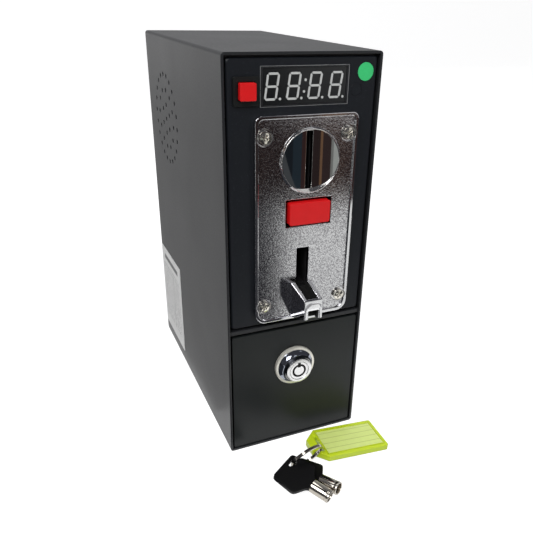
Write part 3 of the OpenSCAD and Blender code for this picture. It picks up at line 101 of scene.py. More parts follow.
# ---------------------------------------------------------------- node helpers
class Mat:
    """A small builder for procedural materials in object space, in millimetres."""

    def __init__(self, name):
        self.m = bpy.data.materials.new(name)
        self.m.use_nodes = True
        self.t = self.m.node_tree
        self.b = self.t.nodes["Principled BSDF"]
        self.co = None

    def n(self, kind, **kw):
        node = self.t.nodes.new(kind)
        for k, v in kw.items():
            setattr(node, k, v)
        return node

    def put(self, socket, value):
        if isinstance(value, bpy.types.NodeSocket):
            self.t.links.new(value, socket)
        else:
            socket.default_value = value

    def coord(self, scale=(1, 1, 1), rot=(0, 0, 0)):
        """Object coordinates in millimetres, stretched by scale."""
        if self.co is None:
            self.co = self.n("ShaderNodeTexCoord").outputs["Object"]
        mp = self.n("ShaderNodeMapping")
        self.put(mp.inputs["Vector"], self.co)
        mp.inputs["Scale"].default_value = tuple(1000 * s for s in scale)
        mp.inputs["Rotation"].default_value = rot
        return mp.outputs["Vector"]

    def noise(self, scale, detail=4, rough=0.55, stretch=(1, 1, 1)):
        t = self.n("ShaderNodeTexNoise")
        self.put(t.inputs["Vector"], self.coord(stretch))
        t.inputs["Scale"].default_value = scale
        t.inputs["Detail"].default_value = detail
        t.inputs["Roughness"].default_value = rough
        return t.outputs["Fac"]

    def voronoi(self, scale, feature="F1", out="Distance"):
        t = self.n("ShaderNodeTexVoronoi", feature=feature)
        self.put(t.inputs["Vector"], self.coord())
        t.inputs["Scale"].default_value = scale
        return t.outputs[out]

    def wave(self, scale, direction, dist, detail):
        t = self.n("ShaderNodeTexWave", wave_type="BANDS", bands_direction=direction)
        self.put(t.inputs["Vector"], self.coord())
        t.inputs["Scale"].default_value = scale
        t.inputs["Distortion"].default_value = dist
        t.inputs["Detail"].default_value = detail
        return t.outputs["Fac"]

    def math(self, op, a, b=None, clamp=False):
        t = self.n("ShaderNodeMath", operation=op, use_clamp=clamp)
        self.put(t.inputs[0], a)
        if b is not None:
            self.put(t.inputs[1], b)
        return t.outputs[0]

    def range(self, v, a, b, c, d):
        """Maps v from a..b to c..d, clamped."""
        t = self.n("ShaderNodeMapRange")
        self.put(t.inputs[0], v)
        for i, x in zip((1, 2, 3, 4), (a, b, c, d)):
            t.inputs[i].default_value = x
        return t.outputs[0]

    def window(self, v, low, high, soft=0.2):
        """1 where v lies between low and high, with soft ends."""
        return self.math("MULTIPLY", self.range(v, low, low + soft, 0, 1),
                         self.range(v, high, high + soft, 1, 0))

    def mix(self, fac, a, b):
        t = self.n("ShaderNodeMix", data_type="RGBA")
        self.put(t.inputs[0], fac)
        for i, v in ((6, a), (7, b)):
            if isinstance(v, bpy.types.NodeSocket):
                self.t.links.new(v, t.inputs[i])
            else:
                t.inputs[i].default_value = (*v[:3], 1.0)
        return t.outputs[2]

    def bump(self, height, dist_mm, strength=1.0, chain=None):
        t = self.n("ShaderNodeBump")
        self.put(t.inputs["Height"], height)
        t.inputs["Distance"].default_value = dist_mm * MM
        t.inputs["Strength"].default_value = strength
        if chain is not None:
            self.put(t.inputs["Normal"], chain)
        return t.outputs["Normal"]

    def edge(self, radius_mm, samples=6):
        """Rounded-edge normals, to start a bump chain from."""
        t = self.n("ShaderNodeBevel", samples=samples)
        t.inputs["Radius"].default_value = radius_mm * MM
        return t.outputs["Normal"]

    def set(self, **kw):
        names = {"color": "Base Color", "metal": "Metallic", "rough": "Roughness",
                 "normal": "Normal", "spec": "Specular IOR Level", "sss": "Subsurface Weight",
                 "sss_s": "Subsurface Scale"}
        for k, v in kw.items():
            s = self.b.inputs[names[k]]
            if k == "color" and not isinstance(v, bpy.types.NodeSocket):
                v = (*v[:3], 1.0)
            self.put(s, v)


def vary(m, color, amount, scale):
    """A colour that drifts a little over the surface."""
    f = m.noise(scale, 5, 0.6)
    lo = tuple(c * (1 - amount) for c in color)
    hi = tuple(min(c * (1 + amount), 1) for c in color)
    return m.mix(m.range(f, 0.3, 0.7, 0, 1), lo, hi)


def paint(name, color, rough, grain, height, edge, speck, spec):
    """Powder coat: small even grain, a little slow drift, edges rounded by the coat."""
    m = Mat(name)
    fine = m.noise(grain, 3, 0.6)
    big = m.noise(0.02, 3, 0.5)
    col = vary(m, color, 0.10, 1.6)
    if speck:
        col = m.mix(m.range(m.noise(1.1, 2, 0.5), 0.63, 0.72, 0, 0.6), col, speck)
    m.set(color=col, rough=m.math("ADD", m.range(big, 0.3, 0.7, rough - 0.015, rough + 0.015),
                                  m.range(fine, 0.3, 0.7, -0.03, 0.03)),
          normal=m.bump(fine, height, 0.6, m.edge(edge)), spec=spec)
    return m.m


def plastic(name, color, rough, grain=1.2, height=0.006, amount=0.05, edge=0.3, spec=0.5):
    """Moulded plastic: a faint satin grain and slow changes in gloss."""
    m = Mat(name)
    fine = m.noise(grain, 3, 0.5)
    big = m.noise(0.06, 3, 0.5)
    m.set(color=vary(m, color, amount, 0.1), rough=m.range(big, 0.3, 0.7, rough - 0.03, rough + 0.03),
          normal=m.bump(fine, height, 0.5, m.edge(edge)), spec=spec)
    return m.m


def metal(name, color, rough, streak=(0.15, 4, 4), height=0.004):
    """Plated or brushed metal: fine streaks and cloudy gloss."""
    m = Mat(name)
    s = m.noise(1.0, 3, 0.6, streak)
    cloud = m.noise(0.09, 5, 0.65)
    dark = tuple(c * (1 - 0.15) for c in color)
    m.set(color=m.mix(m.range(cloud, 0.35, 0.7, 0, 1), color, dark), metal=1.0,
          rough=m.math("ADD", m.range(cloud, 0.3, 0.7, rough - 0.04, rough + 0.06),
                       m.range(s, 0.3, 0.7, -0.04, 0.04), clamp=True),
          normal=m.bump(s, height, 0.5, m.edge(0.25)))
    return m.m


def zinc(name, color=(0.60, 0.61, 0.62), rough=0.34):
    """Zinc plate: small spangle and a faint blue cast."""
    m = Mat(name)
    cell = m.math("MULTIPLY", m.voronoi(0.35, out="Color"), 1.0)  # the cell's colour as one grey
    cloud = m.noise(0.12, 4, 0.6)
    m.set(color=m.mix(m.range(cell, 0, 1, 0, 0.5), color, (0.50, 0.53, 0.58)), metal=1.0,
          rough=m.math("ADD", m.range(cell, 0, 1, rough - 0.05, rough + 0.07),
                       m.range(cloud, 0.3, 0.7, -0.04, 0.04)),
          normal=m.bump(m.noise(1.5, 3, 0.6), 0.004, 0.5))
    return m.m


def paper(name, color, rough):
    """Matt paper or card with a fine fibre."""
    m = Mat(name)
    f = m.noise(2.5, 5, 0.7)
    m.set(color=vary(m, color, 0.05, 0.3), rough=m.range(f, 0.3, 0.7, rough - 0.06, rough + 0.06),
          normal=m.bump(f, 0.01, 0.4))
    return m.m


def polished(name, color, rough, haze, edge, metallic=1.0):
    """Polished chrome with a faint haze and hairline scratches; an edge of 0 is left sharp."""
    m = Mat(name)
    cloud = m.noise(0.15, 4, 0.6)
    hair = m.noise(3.0, 2, 0.5, (0.05, 1, 1))
    m.set(color=m.mix(m.range(cloud, 0.3, 0.7, 0, 1), color, tuple(c * 0.94 for c in color)),
          metal=metallic, rough=m.range(cloud, 0.3, 0.7, rough, rough + haze),
          normal=m.bump(hair, 0.0005, 0.4, m.edge(edge) if edge else None))
    return m.m


def board(name):
    """Circuit board: solder mask with traces and pads."""
    m = Mat(name)
    brick = m.n("ShaderNodeTexBrick")
    m.put(brick.inputs["Vector"], m.coord((1, 1, 1), (0, math.radians(90), 0)))
    brick.inputs["Scale"].default_value = 0.28
    brick.inputs["Mortar Size"].default_value = 0.06
    brick.inputs["Color1"].default_value = (0, 0, 0, 1)
    brick.inputs["Color2"].default_value = (0, 0, 0, 1)
    brick.inputs["Mortar"].default_value = (1, 1, 1, 1)
    tr = brick.outputs["Color"]
    pads = m.range(m.voronoi(0.4), 0.0, 0.16, 1, 0)
    col = m.mix(tr, vary(m, (0.018, 0.11, 0.04), 0.2, 0.1), (0.03, 0.2, 0.07))
    col = m.mix(pads, col, (0.55, 0.52, 0.42))
    m.set(color=col, rough=m.range(m.noise(0.2), 0.3, 0.7, 0.28, 0.4), normal=m.bump(tr, 0.03, 0.6))
    return m.m


def winding(name, color, pitch, direction, tape=False):
    """Copper turns, or tape wound over them."""
    m = Mat(name)
    w = m.wave(1.0 / pitch * 0.5, direction, 0.3, 2)
    cloud = m.noise(0.3, 4, 0.6)
    dark = tuple(c * 0.55 for c in color)
    m.set(color=m.mix(w, dark, color), metal=0.0 if tape else 0.7,
          rough=m.range(cloud, 0.3, 0.7, 0.3, 0.45), normal=m.bump(w, 0.08, 0.7))
    return m.m


# ---------------------------------------------------------------- materials
def plate_material():
    """Cast plate: a pebbled field, with the same chrome polished where it stands proud. The field's
    colour is darkened in its low spots: painted shade in the pebbles' hollows.
    """
    m = Mat("plate_chrome")
    sep = m.n("ShaderNodeSeparateXYZ")
    m.put(sep.inputs[0], m.coord())
    field = m.math("MULTIPLY", m.range(sep.outputs["Y"], -94.62, -94.55, 0, 1),
                   m.range(sep.outputs["Y"], -94.4, -94.3, 1, 0))
    v = m.voronoi(1.15, "SMOOTH_F1")
    fine = m.noise(1.9, 3, 0.7)
    h = m.math("MULTIPLY", m.math("ADD", v, m.math("MULTIPLY", fine, 1.1)), field)
    cloud = m.noise(0.05, 3, 0.5)
    # painted shade: the field's colour darkens where a noise at the fine bump's scale is low, in the
    # pebbles' hollows
    pit = m.range(m.noise(1.9, 2, 0.6), 0.42, 0.58, 0.3, 1.0)
    col = m.mix(m.range(cloud, 0.3, 0.7, 0, 1), (0.78, 0.78, 0.80), (0.72, 0.72, 0.74))
    hollow_shade = m.math("MULTIPLY", field, m.math("SUBTRACT", 1.0, pit))
    m.set(color=m.mix(hollow_shade, col, (0.09, 0.08, 0.10)), metal=1.0,
          rough=m.math("ADD", m.range(field, 0, 1, 0.07, 0.13),
                       m.range(fine, 0.3, 0.7, -0.03, 0.03)),
          normal=m.bump(h, 0.04, 0.45, m.edge(0.55, 8)))
    return m.m


def tag_material():
    """Translucent yellow plastic of the key tag."""
    m = Mat("tag_plastic")
    f = m.noise(0.08, 3, 0.5)
    m.set(color=m.mix(m.range(f, 0.3, 0.7, 0, 1), (0.58, 0.73, 0.02), (0.55, 0.70, 0.02)),
          rough=m.range(m.noise(0.05, 2, 0.5), 0.3, 0.7, 0.27, 0.31), sss=0.35, sss_s=0.003,
          normal=m.bump(m.noise(0.5, 2, 0.4), 0.003, 0.3, m.edge(0.6)))
    m.b.inputs["Subsurface Radius"].default_value = (1.0, 1.0, 0.3)
    return m.m


def card_material():
    """Ruled card in the tag."""
    m = Mat("tag_card")
    f = m.noise(1.5, 4, 0.6)
    sep = m.n("ShaderNodeSeparateXYZ")
    m.put(sep.inputs[0], m.coord((1, 1, 1), (0, 0, math.radians(1.5))))
    band = m.math("PINGPONG", m.math("ADD", sep.outputs["Y"], 117.8), 2.6)
    rule = m.math("MULTIPLY", m.range(band, 0.12, 0.28, 1, 0), m.range(f, 0.25, 0.5, 0.4, 0.9))
    m.set(color=m.mix(rule, vary(m, (0.66, 0.78, 0.24), 0.03, 0.2), (0.36, 0.46, 0.10)), rough=0.35,
          normal=m.bump(f, 0.01, 0.4))
    return m.m


def label_material():
    """White label with plain ruled lines, and no words."""
    m = Mat("label_white")
    f = m.noise(2.5, 5, 0.7)
    sep = m.n("ShaderNodeSeparateXYZ")
    m.put(sep.inputs[0], m.coord())
    y, z = sep.outputs["Y"], sep.outputs["Z"]
    rows = m.math("PINGPONG", m.math("SUBTRACT", z, 22.0), 1.45)
    dash = m.range(m.noise(0.35, 1, 0.5, (1, 1, 2.2)), 0.44, 0.47, 0.15, 1)
    line = m.math("MULTIPLY", m.range(rows, 0.24, 0.34, 1, 0), dash)
    inside = m.math("MULTIPLY", m.window(z, 20.5, 73), m.window(y, 34.2, 86.0))
    split = m.range(m.math("ABSOLUTE", m.math("SUBTRACT", y, 55.0)), 0.15, 0.27, 1, 0)
    head = m.math("MULTIPLY", m.window(z, 77, 81), m.window(y, 38, 82))
    ink = m.math("MAXIMUM", m.math("MULTIPLY", m.math("MAXIMUM", line, split), inside), head)
    ink = m.math("MULTIPLY", ink, m.range(f, 0.3, 0.6, 0.75, 1.0))
    m.set(color=m.mix(ink, vary(m, (0.78, 0.78, 0.77), 0.04, 0.3), (0.06, 0.06, 0.065)), rough=0.42,
          normal=m.bump(f, 0.006, 0.4))
    return m.m


M = {
    "case_paint": paint("case_paint", (0.014, 0.015, 0.017), 0.42, 0.8, 0.035, 0.7, None, 0.44),
    "drawer_paint": paint("drawer_paint", (0.008, 0.010, 0.010), 0.38, 0.9, 0.02, 0.5, None, 0.28),
    "panel_plastic": paint("panel_plastic", (0.0075, 0.009, 0.012), 0.45, 0.6, 0.04, 0.5,
                           (0.022, 0.026, 0.032), 0.28),
    "dark_screw": metal("dark_screw", (0.16, 0.16, 0.17), 0.35),
    "zinc_steel": zinc("zinc_steel"),
    "tray_zinc": zinc("tray_zinc", (0.55, 0.56, 0.58), 0.38),
    "zinc_screw": metal("zinc_screw", (0.62, 0.62, 0.64), 0.28),
    "bezel_plastic": plastic("bezel_plastic", (0.018, 0.019, 0.021), 0.42, spec=0.35),
    "display_face": plastic("display_face", (0.004, 0.005, 0.006), 0.20, 1.5, 0.002),
    "segment_grey": plastic("segment_grey", (0.50, 0.51, 0.50), 0.4, edge=0.1),
    "board_green": board("board_green"),
    "switch_black": plastic("switch_black", (0.007, 0.008, 0.008), 0.38, spec=0.35),
    "button_red": plastic("button_red", (0.66, 0.008, 0.010), 0.34, 0.8, 0.003, 0.04, 0.8, 0.35),
    "spring_steel": metal("spring_steel", (0.58, 0.58, 0.60), 0.25),
    "dot_green": paper("dot_green", (0.04, 0.54, 0.17), 0.55),
    "label_white": label_material(),
    "plate_chrome": plate_material(),
    "dish_chrome": polished("dish_chrome", (0.80, 0.79, 0.78), 0.03, 0.02, 0.4),
    "bright_screw": metal("bright_screw", (0.60, 0.58, 0.54), 0.22),
    "acetal_white": plastic("acetal_white", (0.78, 0.76, 0.70), 0.4),
    "frame_black": plastic("frame_black", (0.010, 0.010, 0.011), 0.55, 0.8, 0.02),
    "flap_blue": plastic("flap_blue", (0.03, 0.10, 0.32), 0.4),
    "coil_copper": winding("coil_copper", (0.60, 0.25, 0.08), 0.5, "X"),
    "coil_tape": winding("coil_tape", (0.62, 0.42, 0.08), 4.0, "Z", True),
    "chute_black": plastic("chute_black", (0.015, 0.015, 0.016), 0.45),
    "lock_chrome": polished("lock_chrome", (0.74, 0.74, 0.74), 0.24, 0.05, 0.1),
    "core_steel": metal("core_steel", (0.20, 0.20, 0.21), 0.5, (1, 0.1, 6), 0.02),
    "relay_blue": plastic("relay_blue", (0.02, 0.07, 0.34), 0.35),
    "cone_paper": paper("cone_paper", (0.02, 0.02, 0.021), 0.85),
    "key_black": plastic("key_black", (0.003, 0.003, 0.0035), 0.40, 0.9, 0.01, edge=0.9, spec=0.14),
    "key_nickel": polished("key_nickel", (0.44, 0.41, 0.36), 0.10, 0.04, 0.0),
    "tag_plastic": tag_material(),
    "tag_card": card_material(),
}
# painted shade: a near-black matt for sheets set in the spout's channel and in the keyway, where
# there is only shade
SHADE_BLACK = plastic("painted_shade_black", (0.002, 0.002, 0.002), 0.9, edge=0.05)
# painted highlight: a paler, partly matt copy of the plate's chrome for the spout's lips and arch
LIP_BRIGHTENED = polished("lip_chrome_painted_bright", (0.93, 0.93, 0.95), 0.14, 0.04, 0.0, 0.75)
# painted reflection: a darker, bluish copy of the lock's chrome for its cone, standing in for the
# dark panel it reflects
CONE_SHADED = polished("cone_chrome_painted_dark", (0.30, 0.32, 0.37), 0.06, 0.03, 0.0)
# partly painted highlight: a paler, part-matt copy of the lock's chrome for its rim, in the rim's own
# cream tone
RIM_BRIGHTENED = polished("rim_cream_painted_bright", (0.80, 0.78, 0.70), 0.30, 0.05, 0.0, 0.6)
SCREW = polished("screw_chrome", (0.68, 0.65, 0.58), 0.05, 0.04, 0.3)
TRIM = metal("frame_line", (0.62, 0.63, 0.64), 0.3)

slot_of = {s["node"]: s["material_slot"] for s in frame["record"]["subparts"]}
for name, o in nodes.items():
    o.data.materials.clear()
    o.data.materials.append(M[slot_of[name]])


# ---------------------------------------------------------------- pieces
SHARP = 0.6  # radians between faces, above which a smooth piece keeps a hard edge


def piece(name, verts, faces, mat, body, smooth=False):
    """Makes a mesh object that rides on a body and fills a material slot."""
    me = bpy.data.meshes.new(name)
    me.from_pydata([tuple(v) for v in verts], [], faces)
    me.validate()
    bm = bmesh.new()
    bm.from_mesh(me)
    bmesh.ops.recalc_face_normals(bm, faces=bm.faces)
    for f in bm.faces:
        f.smooth = smooth
    for e in bm.edges:
        if len(e.link_faces) == 2 and e.calc_face_angle(0) > SHARP:
            e.smooth = False
    bm.to_mesh(me)
    bm.free()
    me.materials.append(mat)
    o = bpy.data.objects.new(name, me)
    bpy.context.collection.objects.link(o)
    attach(o, body)
    return o


def sheet_solid(points, x0, x1):
    """A closed solid: a polygon in depth and height, from x0 to x1."""
    n = len(points)
    vs = [P(x, d, z) for x in (x0, x1) for d, z in points]
    fs = [tuple(range(n)), tuple(range(2 * n - 1, n - 1, -1))]
    fs += [(i, (i + 1) % n, n + (i + 1) % n, n + i) for i in range(n)]
    return vs, fs


def merge(parts):
    """Joins several (verts, faces) into one."""
    vs, fs = [], []
    for v, f in parts:
        k = len(vs)
        vs += v
        fs += [tuple(i + k for i in q) for q in f]
    return vs, fs


def sweep_faces(n, stations, closed=False):
    """Faces of a tube of n-point sections. An open tube gets a cap at each end."""
    fs = []
    for k in range(stations if closed else stations - 1):
        j = (k + 1) % stations
        fs += [(k * n + i, k * n + (i + 1) % n, j * n + (i + 1) % n, j * n + i) for i in range(n)]
    if not closed:
        fs += [tuple(range(n)), tuple(range((stations - 1) * n, stations * n))]
    return fs


def spout_channel_shade():
    """A black sheet inside the spout's channel and its window: painted shade in the channel."""
    t = 0.12
    w = RETURN_W / 2 - 0.04
    back = TIP_D + LIP_T
    wall = back + 0.04
    low, top = RETURN_LOW, RETURN_LOW + SPOUT_RISE - 0.8
    run = [(0.9, low - 0.42), (back + 2, low - 8.92), (wall, low - 8.92)]
    side = run + [(wall, low - 0.5), (FIELD_D - 0.2, top), (0.9, top)]
    # these black sheets are painted shade inside the channel
    parts = [sheet_solid(side, RETURN_X - w, RETURN_X - w + t),
             sheet_solid(side, RETURN_X + w - t, RETURN_X + w)]
    floor = run + [(d, z + t) for d, z in reversed(run)]
    parts.append(sheet_solid(floor, RETURN_X - w, RETURN_X + w))
    front = [(wall, low - 6.6), (wall + t, low - 6.6), (wall + t, low - 0.5), (wall, low - 0.5)]
    parts.append(sheet_solid(front, RETURN_X - w, RETURN_X + w))
    q = RETURN_W / 2 - 0.54
    cheek = [(TIP_D + 0.3, low - 12.4), (back + 1.9, low - 12.4), (back + 1.9, low - 6.6),
             (TIP_D + 0.3, low - 6.6)]
    for x in (RETURN_X - q, RETURN_X + q - t):
        parts.append(sheet_solid(cheek, x, x + t))
    end = [(back + 1.8, low - 12.4), (back + 1.95, low - 12.4), (back + 1.95, low - 9.0),
           (back + 1.8, low - 9.0)]
    parts.append(sheet_solid(end, RETURN_X - q, RETURN_X + q))
    vs, fs = merge(parts)
    return piece("spout_channel_shade", vs, fs, SHADE_BLACK, "case")


def screw_dome(name, x, z):
    """A domed head with a cross recess, over a screw of the plate."""
    R, H, base = 3.72, 1.0, -2.55  # radius, height and the depth of the rim
    arm_r, arm_half, arm_depth, turn = 2.1, 0.55, 0.9, 0.5  # the cross
    rings, seg = 14, 48
    vs = [P(x, base - H + 1.1, z)]
    for i in range(1, rings + 1):
        r = R * i / rings
        for k in range(seg):
            a = 2 * math.pi * k / seg
            arm = min(abs(r * math.cos(a + turn)), abs(r * math.sin(a + turn)))
            h = H * (1 - (r / R) ** 2)
            if r < arm_r:
                wall = max(0.0, min(1.0, (arm_half - arm) / 0.25))
                h -= arm_depth * wall * min(1.0, (arm_r - r) / 0.4)
            vs.append(P(x + r * math.cos(a), base - h, z + r * math.sin(a)))
    fs = [(0, 1 + k, 1 + (k + 1) % seg) for k in range(seg)]
    for i in range(rings - 1):
        b = 1 + i * seg
        fs += [(b + k, b + seg + k, b + seg + (k + 1) % seg, b + (k + 1) % seg)
               for k in range(seg)]
    b = 1 + (rings - 1) * seg
    e = len(vs)
    for k in range(seg):
        a = 2 * math.pi * k / seg
        vs.append(P(x + R * math.cos(a), base + 0.9, z + R * math.sin(a)))
    fs += [(b + k, e + k, e + (k + 1) % seg, b + (k + 1) % seg) for k in range(seg)]
    fs.append(tuple(range(e, e + seg)))
    return piece(name, vs, fs, SCREW, "case", True)


def ring_of(name, x, z, d, r0, r1, lift, mat, body):
    """A flat band with rounded faces round an axis along the depth."""
    seg = 72
    prof = [(r0, 0.0), (r0 + (r1 - r0) * 0.3, -lift), (r0 + (r1 - r0) * 0.7, -lift), (r1, 0.0),
            ((r0 + r1) / 2, 0.15)]
    vs = []
    for k in range(seg):
        a = 2 * math.pi * k / seg
        vs += [P(x + r * math.cos(a), d + q, z + r * math.sin(a)) for r, q in prof]
    return piece(name, vs, sweep_faces(len(prof), seg, True), mat, body, True)


def frame_line():
    """The thin bright edge round the display's window."""
    half_w, half_h = 26.15, 10.15
    x0, x1 = DISPLAY_X - half_w, DISPLAY_X + half_w
    z0, z1 = DISPLAY_Z - half_h, DISPLAY_Z + half_h
    t, d = 0.38, 1.0
    parts = []
    for a, b, c, e in ((x0 - t, x1 + t, z1, z1 + t), (x0 - t, x1 + t, z0 - t, z0),
                       (x0 - t, x0, z0, z1), (x1, x1 + t, z0, z1)):
        bar = [(d - 0.12, c + 0.06), (d - 0.12, e - 0.06), (d + 0.1, e), (d + 0.1, c)]
        parts.append(sheet_solid(bar, a, b))
    vs, fs = merge(parts)
    return piece("display_edge", vs, fs, TRIM, "case")


def split_ring():
    """The key ring as two turns of flat wire, pressed side by side."""
    co = [v.co.copy() for v in nodes["key_ring"].data.vertices]
    c = sum(co, Vector()) / len(co)
    a = np.array([tuple(v - c) for v in co])
    vec = np.linalg.eigh(a.T @ a)[1]
    n = Vector(vec[:, 0]).normalized()
    u = Vector(vec[:, 2]).normalized()
    v = n.cross(u)
    R = max(abs((p - c).dot(u)) for p in co) - 0.001
    turns, seg, thin = 1.92, 132, 0.95
    prof = [(-0.95, -0.42), (-0.95, 0.42), (-0.75, 0.5), (0.75, 0.5), (0.95, 0.42), (0.95, -0.42),
            (0.75, -0.5), (-0.75, -0.5)]
    vs = []
    for k in range(seg + 1):
        t = k / seg
        a = 2 * math.pi * turns * t
        step = max(0.0, min(1.0, (t - 0.47) / 0.06))  # the wire steps over to its second turn
        off = (-0.5 + step) * 0.001 * 1.02
        rad = u * math.cos(a) + v * math.sin(a)
        for pr, pn in prof:
            vs.append(c + rad * (R + pr * MM * thin) + n * (off + pn * MM * thin))
    fs = sweep_faces(len(prof), seg + 1)
    o = piece("split_ring", vs, fs, M["key_nickel"], "keys", True)
    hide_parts("key_ring")
    return o


def resample(pts, n):
    """n points evenly spaced along a line of points."""
    run = [0.0]
    for a, b in zip(pts, pts[1:]):
        run.append(run[-1] + math.dist(a, b))
    res = []
    for k in range(n):
        t = run[-1] * k / (n - 1)
        i = max(j for j in range(len(run)) if run[j] <= t + 1e-9)
        i = min(i, len(pts) - 2)
        f = (t - run[i]) / (run[i + 1] - run[i])
        res.append(tuple(p + (q - p) * f for p, q in zip(pts[i], pts[i + 1])))
    return res


def spout_lips():
    """Rounded lips along both sides of the channel, in a paler, part-matt copy of the chrome: painted
    highlight.
    """
    seg, stations = 10, 9
    parts = []
    for s in (-1, 1):
        vs = []
        for k in range(stations):
            t = k / (stations - 1)
            d = FIELD_D - 0.1 + t * (TIP_D + 0.9 - FIELD_D + 0.1)
            outer = 7.0 + (5.9 - 7.0) * t
            z = RETURN_LOW + SPOUT_RISE * (1 - t)
            x = RETURN_X + s * (RETURN_W / 2 + outer) / 2
            h = (outer - RETURN_W / 2) / 2
            for j in range(seg):
                a = math.pi * j / (seg - 1)
                vs.append(P(x + h * 1.02 * math.cos(a), d, z - 0.25 + 0.62 * math.sin(a)))
        parts.append((vs, sweep_faces(seg, stations)))
    vs, fs = merge(parts)
    piece("spout_lips", vs, fs, LIP_BRIGHTENED, "case", True)


def spout_arch():
    """The polished arch round the window in the spout's tip; its paler, part-matt chrome is painted
    highlight.
    """
    quarter = [math.radians(k * 15) for k in range(7)]
    out = [(-6.15, -12.5), (-5.9, -7.0)]
    out += [(-1.6 - 4.2 * math.cos(a), -5.6 + 4.4 * math.sin(a)) for a in quarter]
    out += [(-x, z) for x, z in reversed(out)]
    inn = [(-4.1, -12.5), (-3.75, -7.2), (-3.45, -6.7)]
    inn += [(-x, z) for x, z in reversed(inn)]
    section = ((0.0, 0.05), (0.12, -0.22), (0.5, -0.34), (0.88, -0.22), (1.0, 0.05))
    n = 41
    vs = []
    for (ox, oz), (ix, iz) in zip(resample(out, n), resample(inn, n)):
        for w, q in section:
            x, z = ox + (ix - ox) * w, oz + (iz - oz) * w
            vs.append(P(RETURN_X + x, TIP_D + q, RETURN_LOW + z))
    piece("spout_arch", vs, sweep_faces(len(section), n), LIP_BRIGHTENED, "case", True)


def tag_face():
    """The pale ruled card as it shows through the tag's clear face, in a raised frame."""
    co = [v.co.copy() for v in nodes["key_tag_insert"].data.vertices]
    c = sum(co, Vector()) / len(co)
    turn = math.radians(-1.5)
    ax = Vector((math.cos(turn), math.sin(turn), 0.0))
    ends = sorted(co, key=lambda p: p.dot(ax))
    near = [p for p in co if (p - ends[0]).dot(ax) < 0.003]
    away = [p for p in co if (ends[-1] - p).dot(ax) < 0.003]
    u = (sum(away, Vector()) / len(away) - sum(near, Vector()) / len(near)).normalized()
    v = Vector((0, 0, 1)).cross(u).normalized()
    n = u.cross(v)
    top = max((p.co - c).dot(n) for p in nodes["key_tag_case"].data.vertices)
    L, W = 21.3, 11.3  # half of the card's length and width

    def at(x, y, h):
        return c + u * (x * MM) + v * (y * MM) + n * (top + h * MM)

    cols, rows = 24, 12
    vs = [at(-L + 2 * L * i / cols, -W + 2 * W * j / rows, 0.03)
          for j in range(rows + 1) for i in range(cols + 1)]
    fs = []
    for j in range(rows):
        for i in range(cols):
            a = j * (cols + 1) + i
            b = (j + 1) * (cols + 1) + i
            fs.append((a, a + 1, b + 1, b))
    piece("tag_card_face", vs, fs, M["tag_card"], "keys")
    prof = [(0.0, 0.0), (0.15, 0.28), (0.5, 0.36), (0.85, 0.28), (1.0, 0.0)]
    vs = []
    for sx, sy in ((-1, -1), (1, -1), (1, 1), (-1, 1)):
        for o, h in prof:
            vs.append(at(sx * L + sx * o * 0.9, sy * W + sy * o * 0.9, h))
    fs = sweep_faces(len(prof), 4, True)
    piece("tag_frame", vs, fs, M["tag_plastic"], "keys")


def lathe(prof, place, seg):
    """Turns a closed profile of (along, radius) round the local X axis and places it."""
    vs = []
    for k in range(seg):
        a = 2 * math.pi * k / seg
        vs += [place @ Vector((x * MM, q * MM * math.cos(a), q * MM * math.sin(a)))
               for x, q in prof]
    return vs, sweep_faces(len(prof), seg, True)


def lock_front():
    """The lock's body: satin face, hollow polished cone and flat rim, and its barrel. The cone's
    darker bluish chrome is painted reflection; the rim's paler, part-matt cream chrome is its own
    cream tone with painted highlight.
    """
    prof = [(-7.7, 6.62), (-8.0, 6.9), (-8.0, 8.5), (-7.85, 8.9), (-7.5, 9.05), (-6.5, 9.12),
            (-5.2, 9.35), (-4.0, 9.85), (-2.95, 10.65), (-2.2, 11.55), (-1.65, 12.3),
            (-1.45, 12.5), (-1.35, 13.7), (-1.15, 14.1), (-0.7, 14.2), (0.8, 14.2), (0.8, 9.5),
            (20.8, 9.5), (20.8, 6.62)]
    axis = P(LOCK_X, 0, LOCK_Z)
    place = Matrix.Translation(axis) @ Matrix.Rotation(math.radians(90), 4, "Z")
    vs, fs = lathe(prof, place, 96)
    o = piece("lock_turned", vs, fs, M["lock_chrome"], "drawer", True)
    o.data.materials.append(CONE_SHADED)
    o.data.materials.append(RIM_BRIGHTENED)
    face_slot, cone_slot, rim_slot = 0, 1, 2
    for f in o.data.polygons:
        c = f.center
        q = math.hypot(c.x - axis.x, c.z - axis.z) / MM
        d = (c.y - FY) / MM
        if d < 0.9:
            cone = d > -7.9 and q > 8.7
            # the cone takes the darker copy (painted reflection), the rim the paler copy (partly
            # painted highlight)
            f.material_index = rim_slot if q > 12.4 else (cone_slot if cone else face_slot)
    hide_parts("lock_body")
    return o


def keyway_shade():
    """A black ring in the keyway, with its notch at the top: painted shade in the keyway's groove."""
    seg = 72
    front, back, r0, r1 = -7.86, -7.6, 3.5, 4.9
    vs = []
    for k in range(seg):
        a = 2 * math.pi * k / seg
        for q, d in ((r0, front), (r1, front), (r1, back), (r0, back)):
            vs.append(P(LOCK_X + q * math.sin(a), d, LOCK_Z + q * math.cos(a)))
    low, high = LOCK_Z + 2.6, LOCK_Z + 6.0
    notch = sheet_solid([(-7.88, low), (back, low), (back, high), (-7.88, high)],
                        LOCK_X - 1.0, LOCK_X + 1.0)
    vs, fs = merge([(vs, sweep_faces(4, seg, True)), notch])
    return piece("keyway_painted_shade", vs, fs, SHADE_BLACK, "lock_barrel")


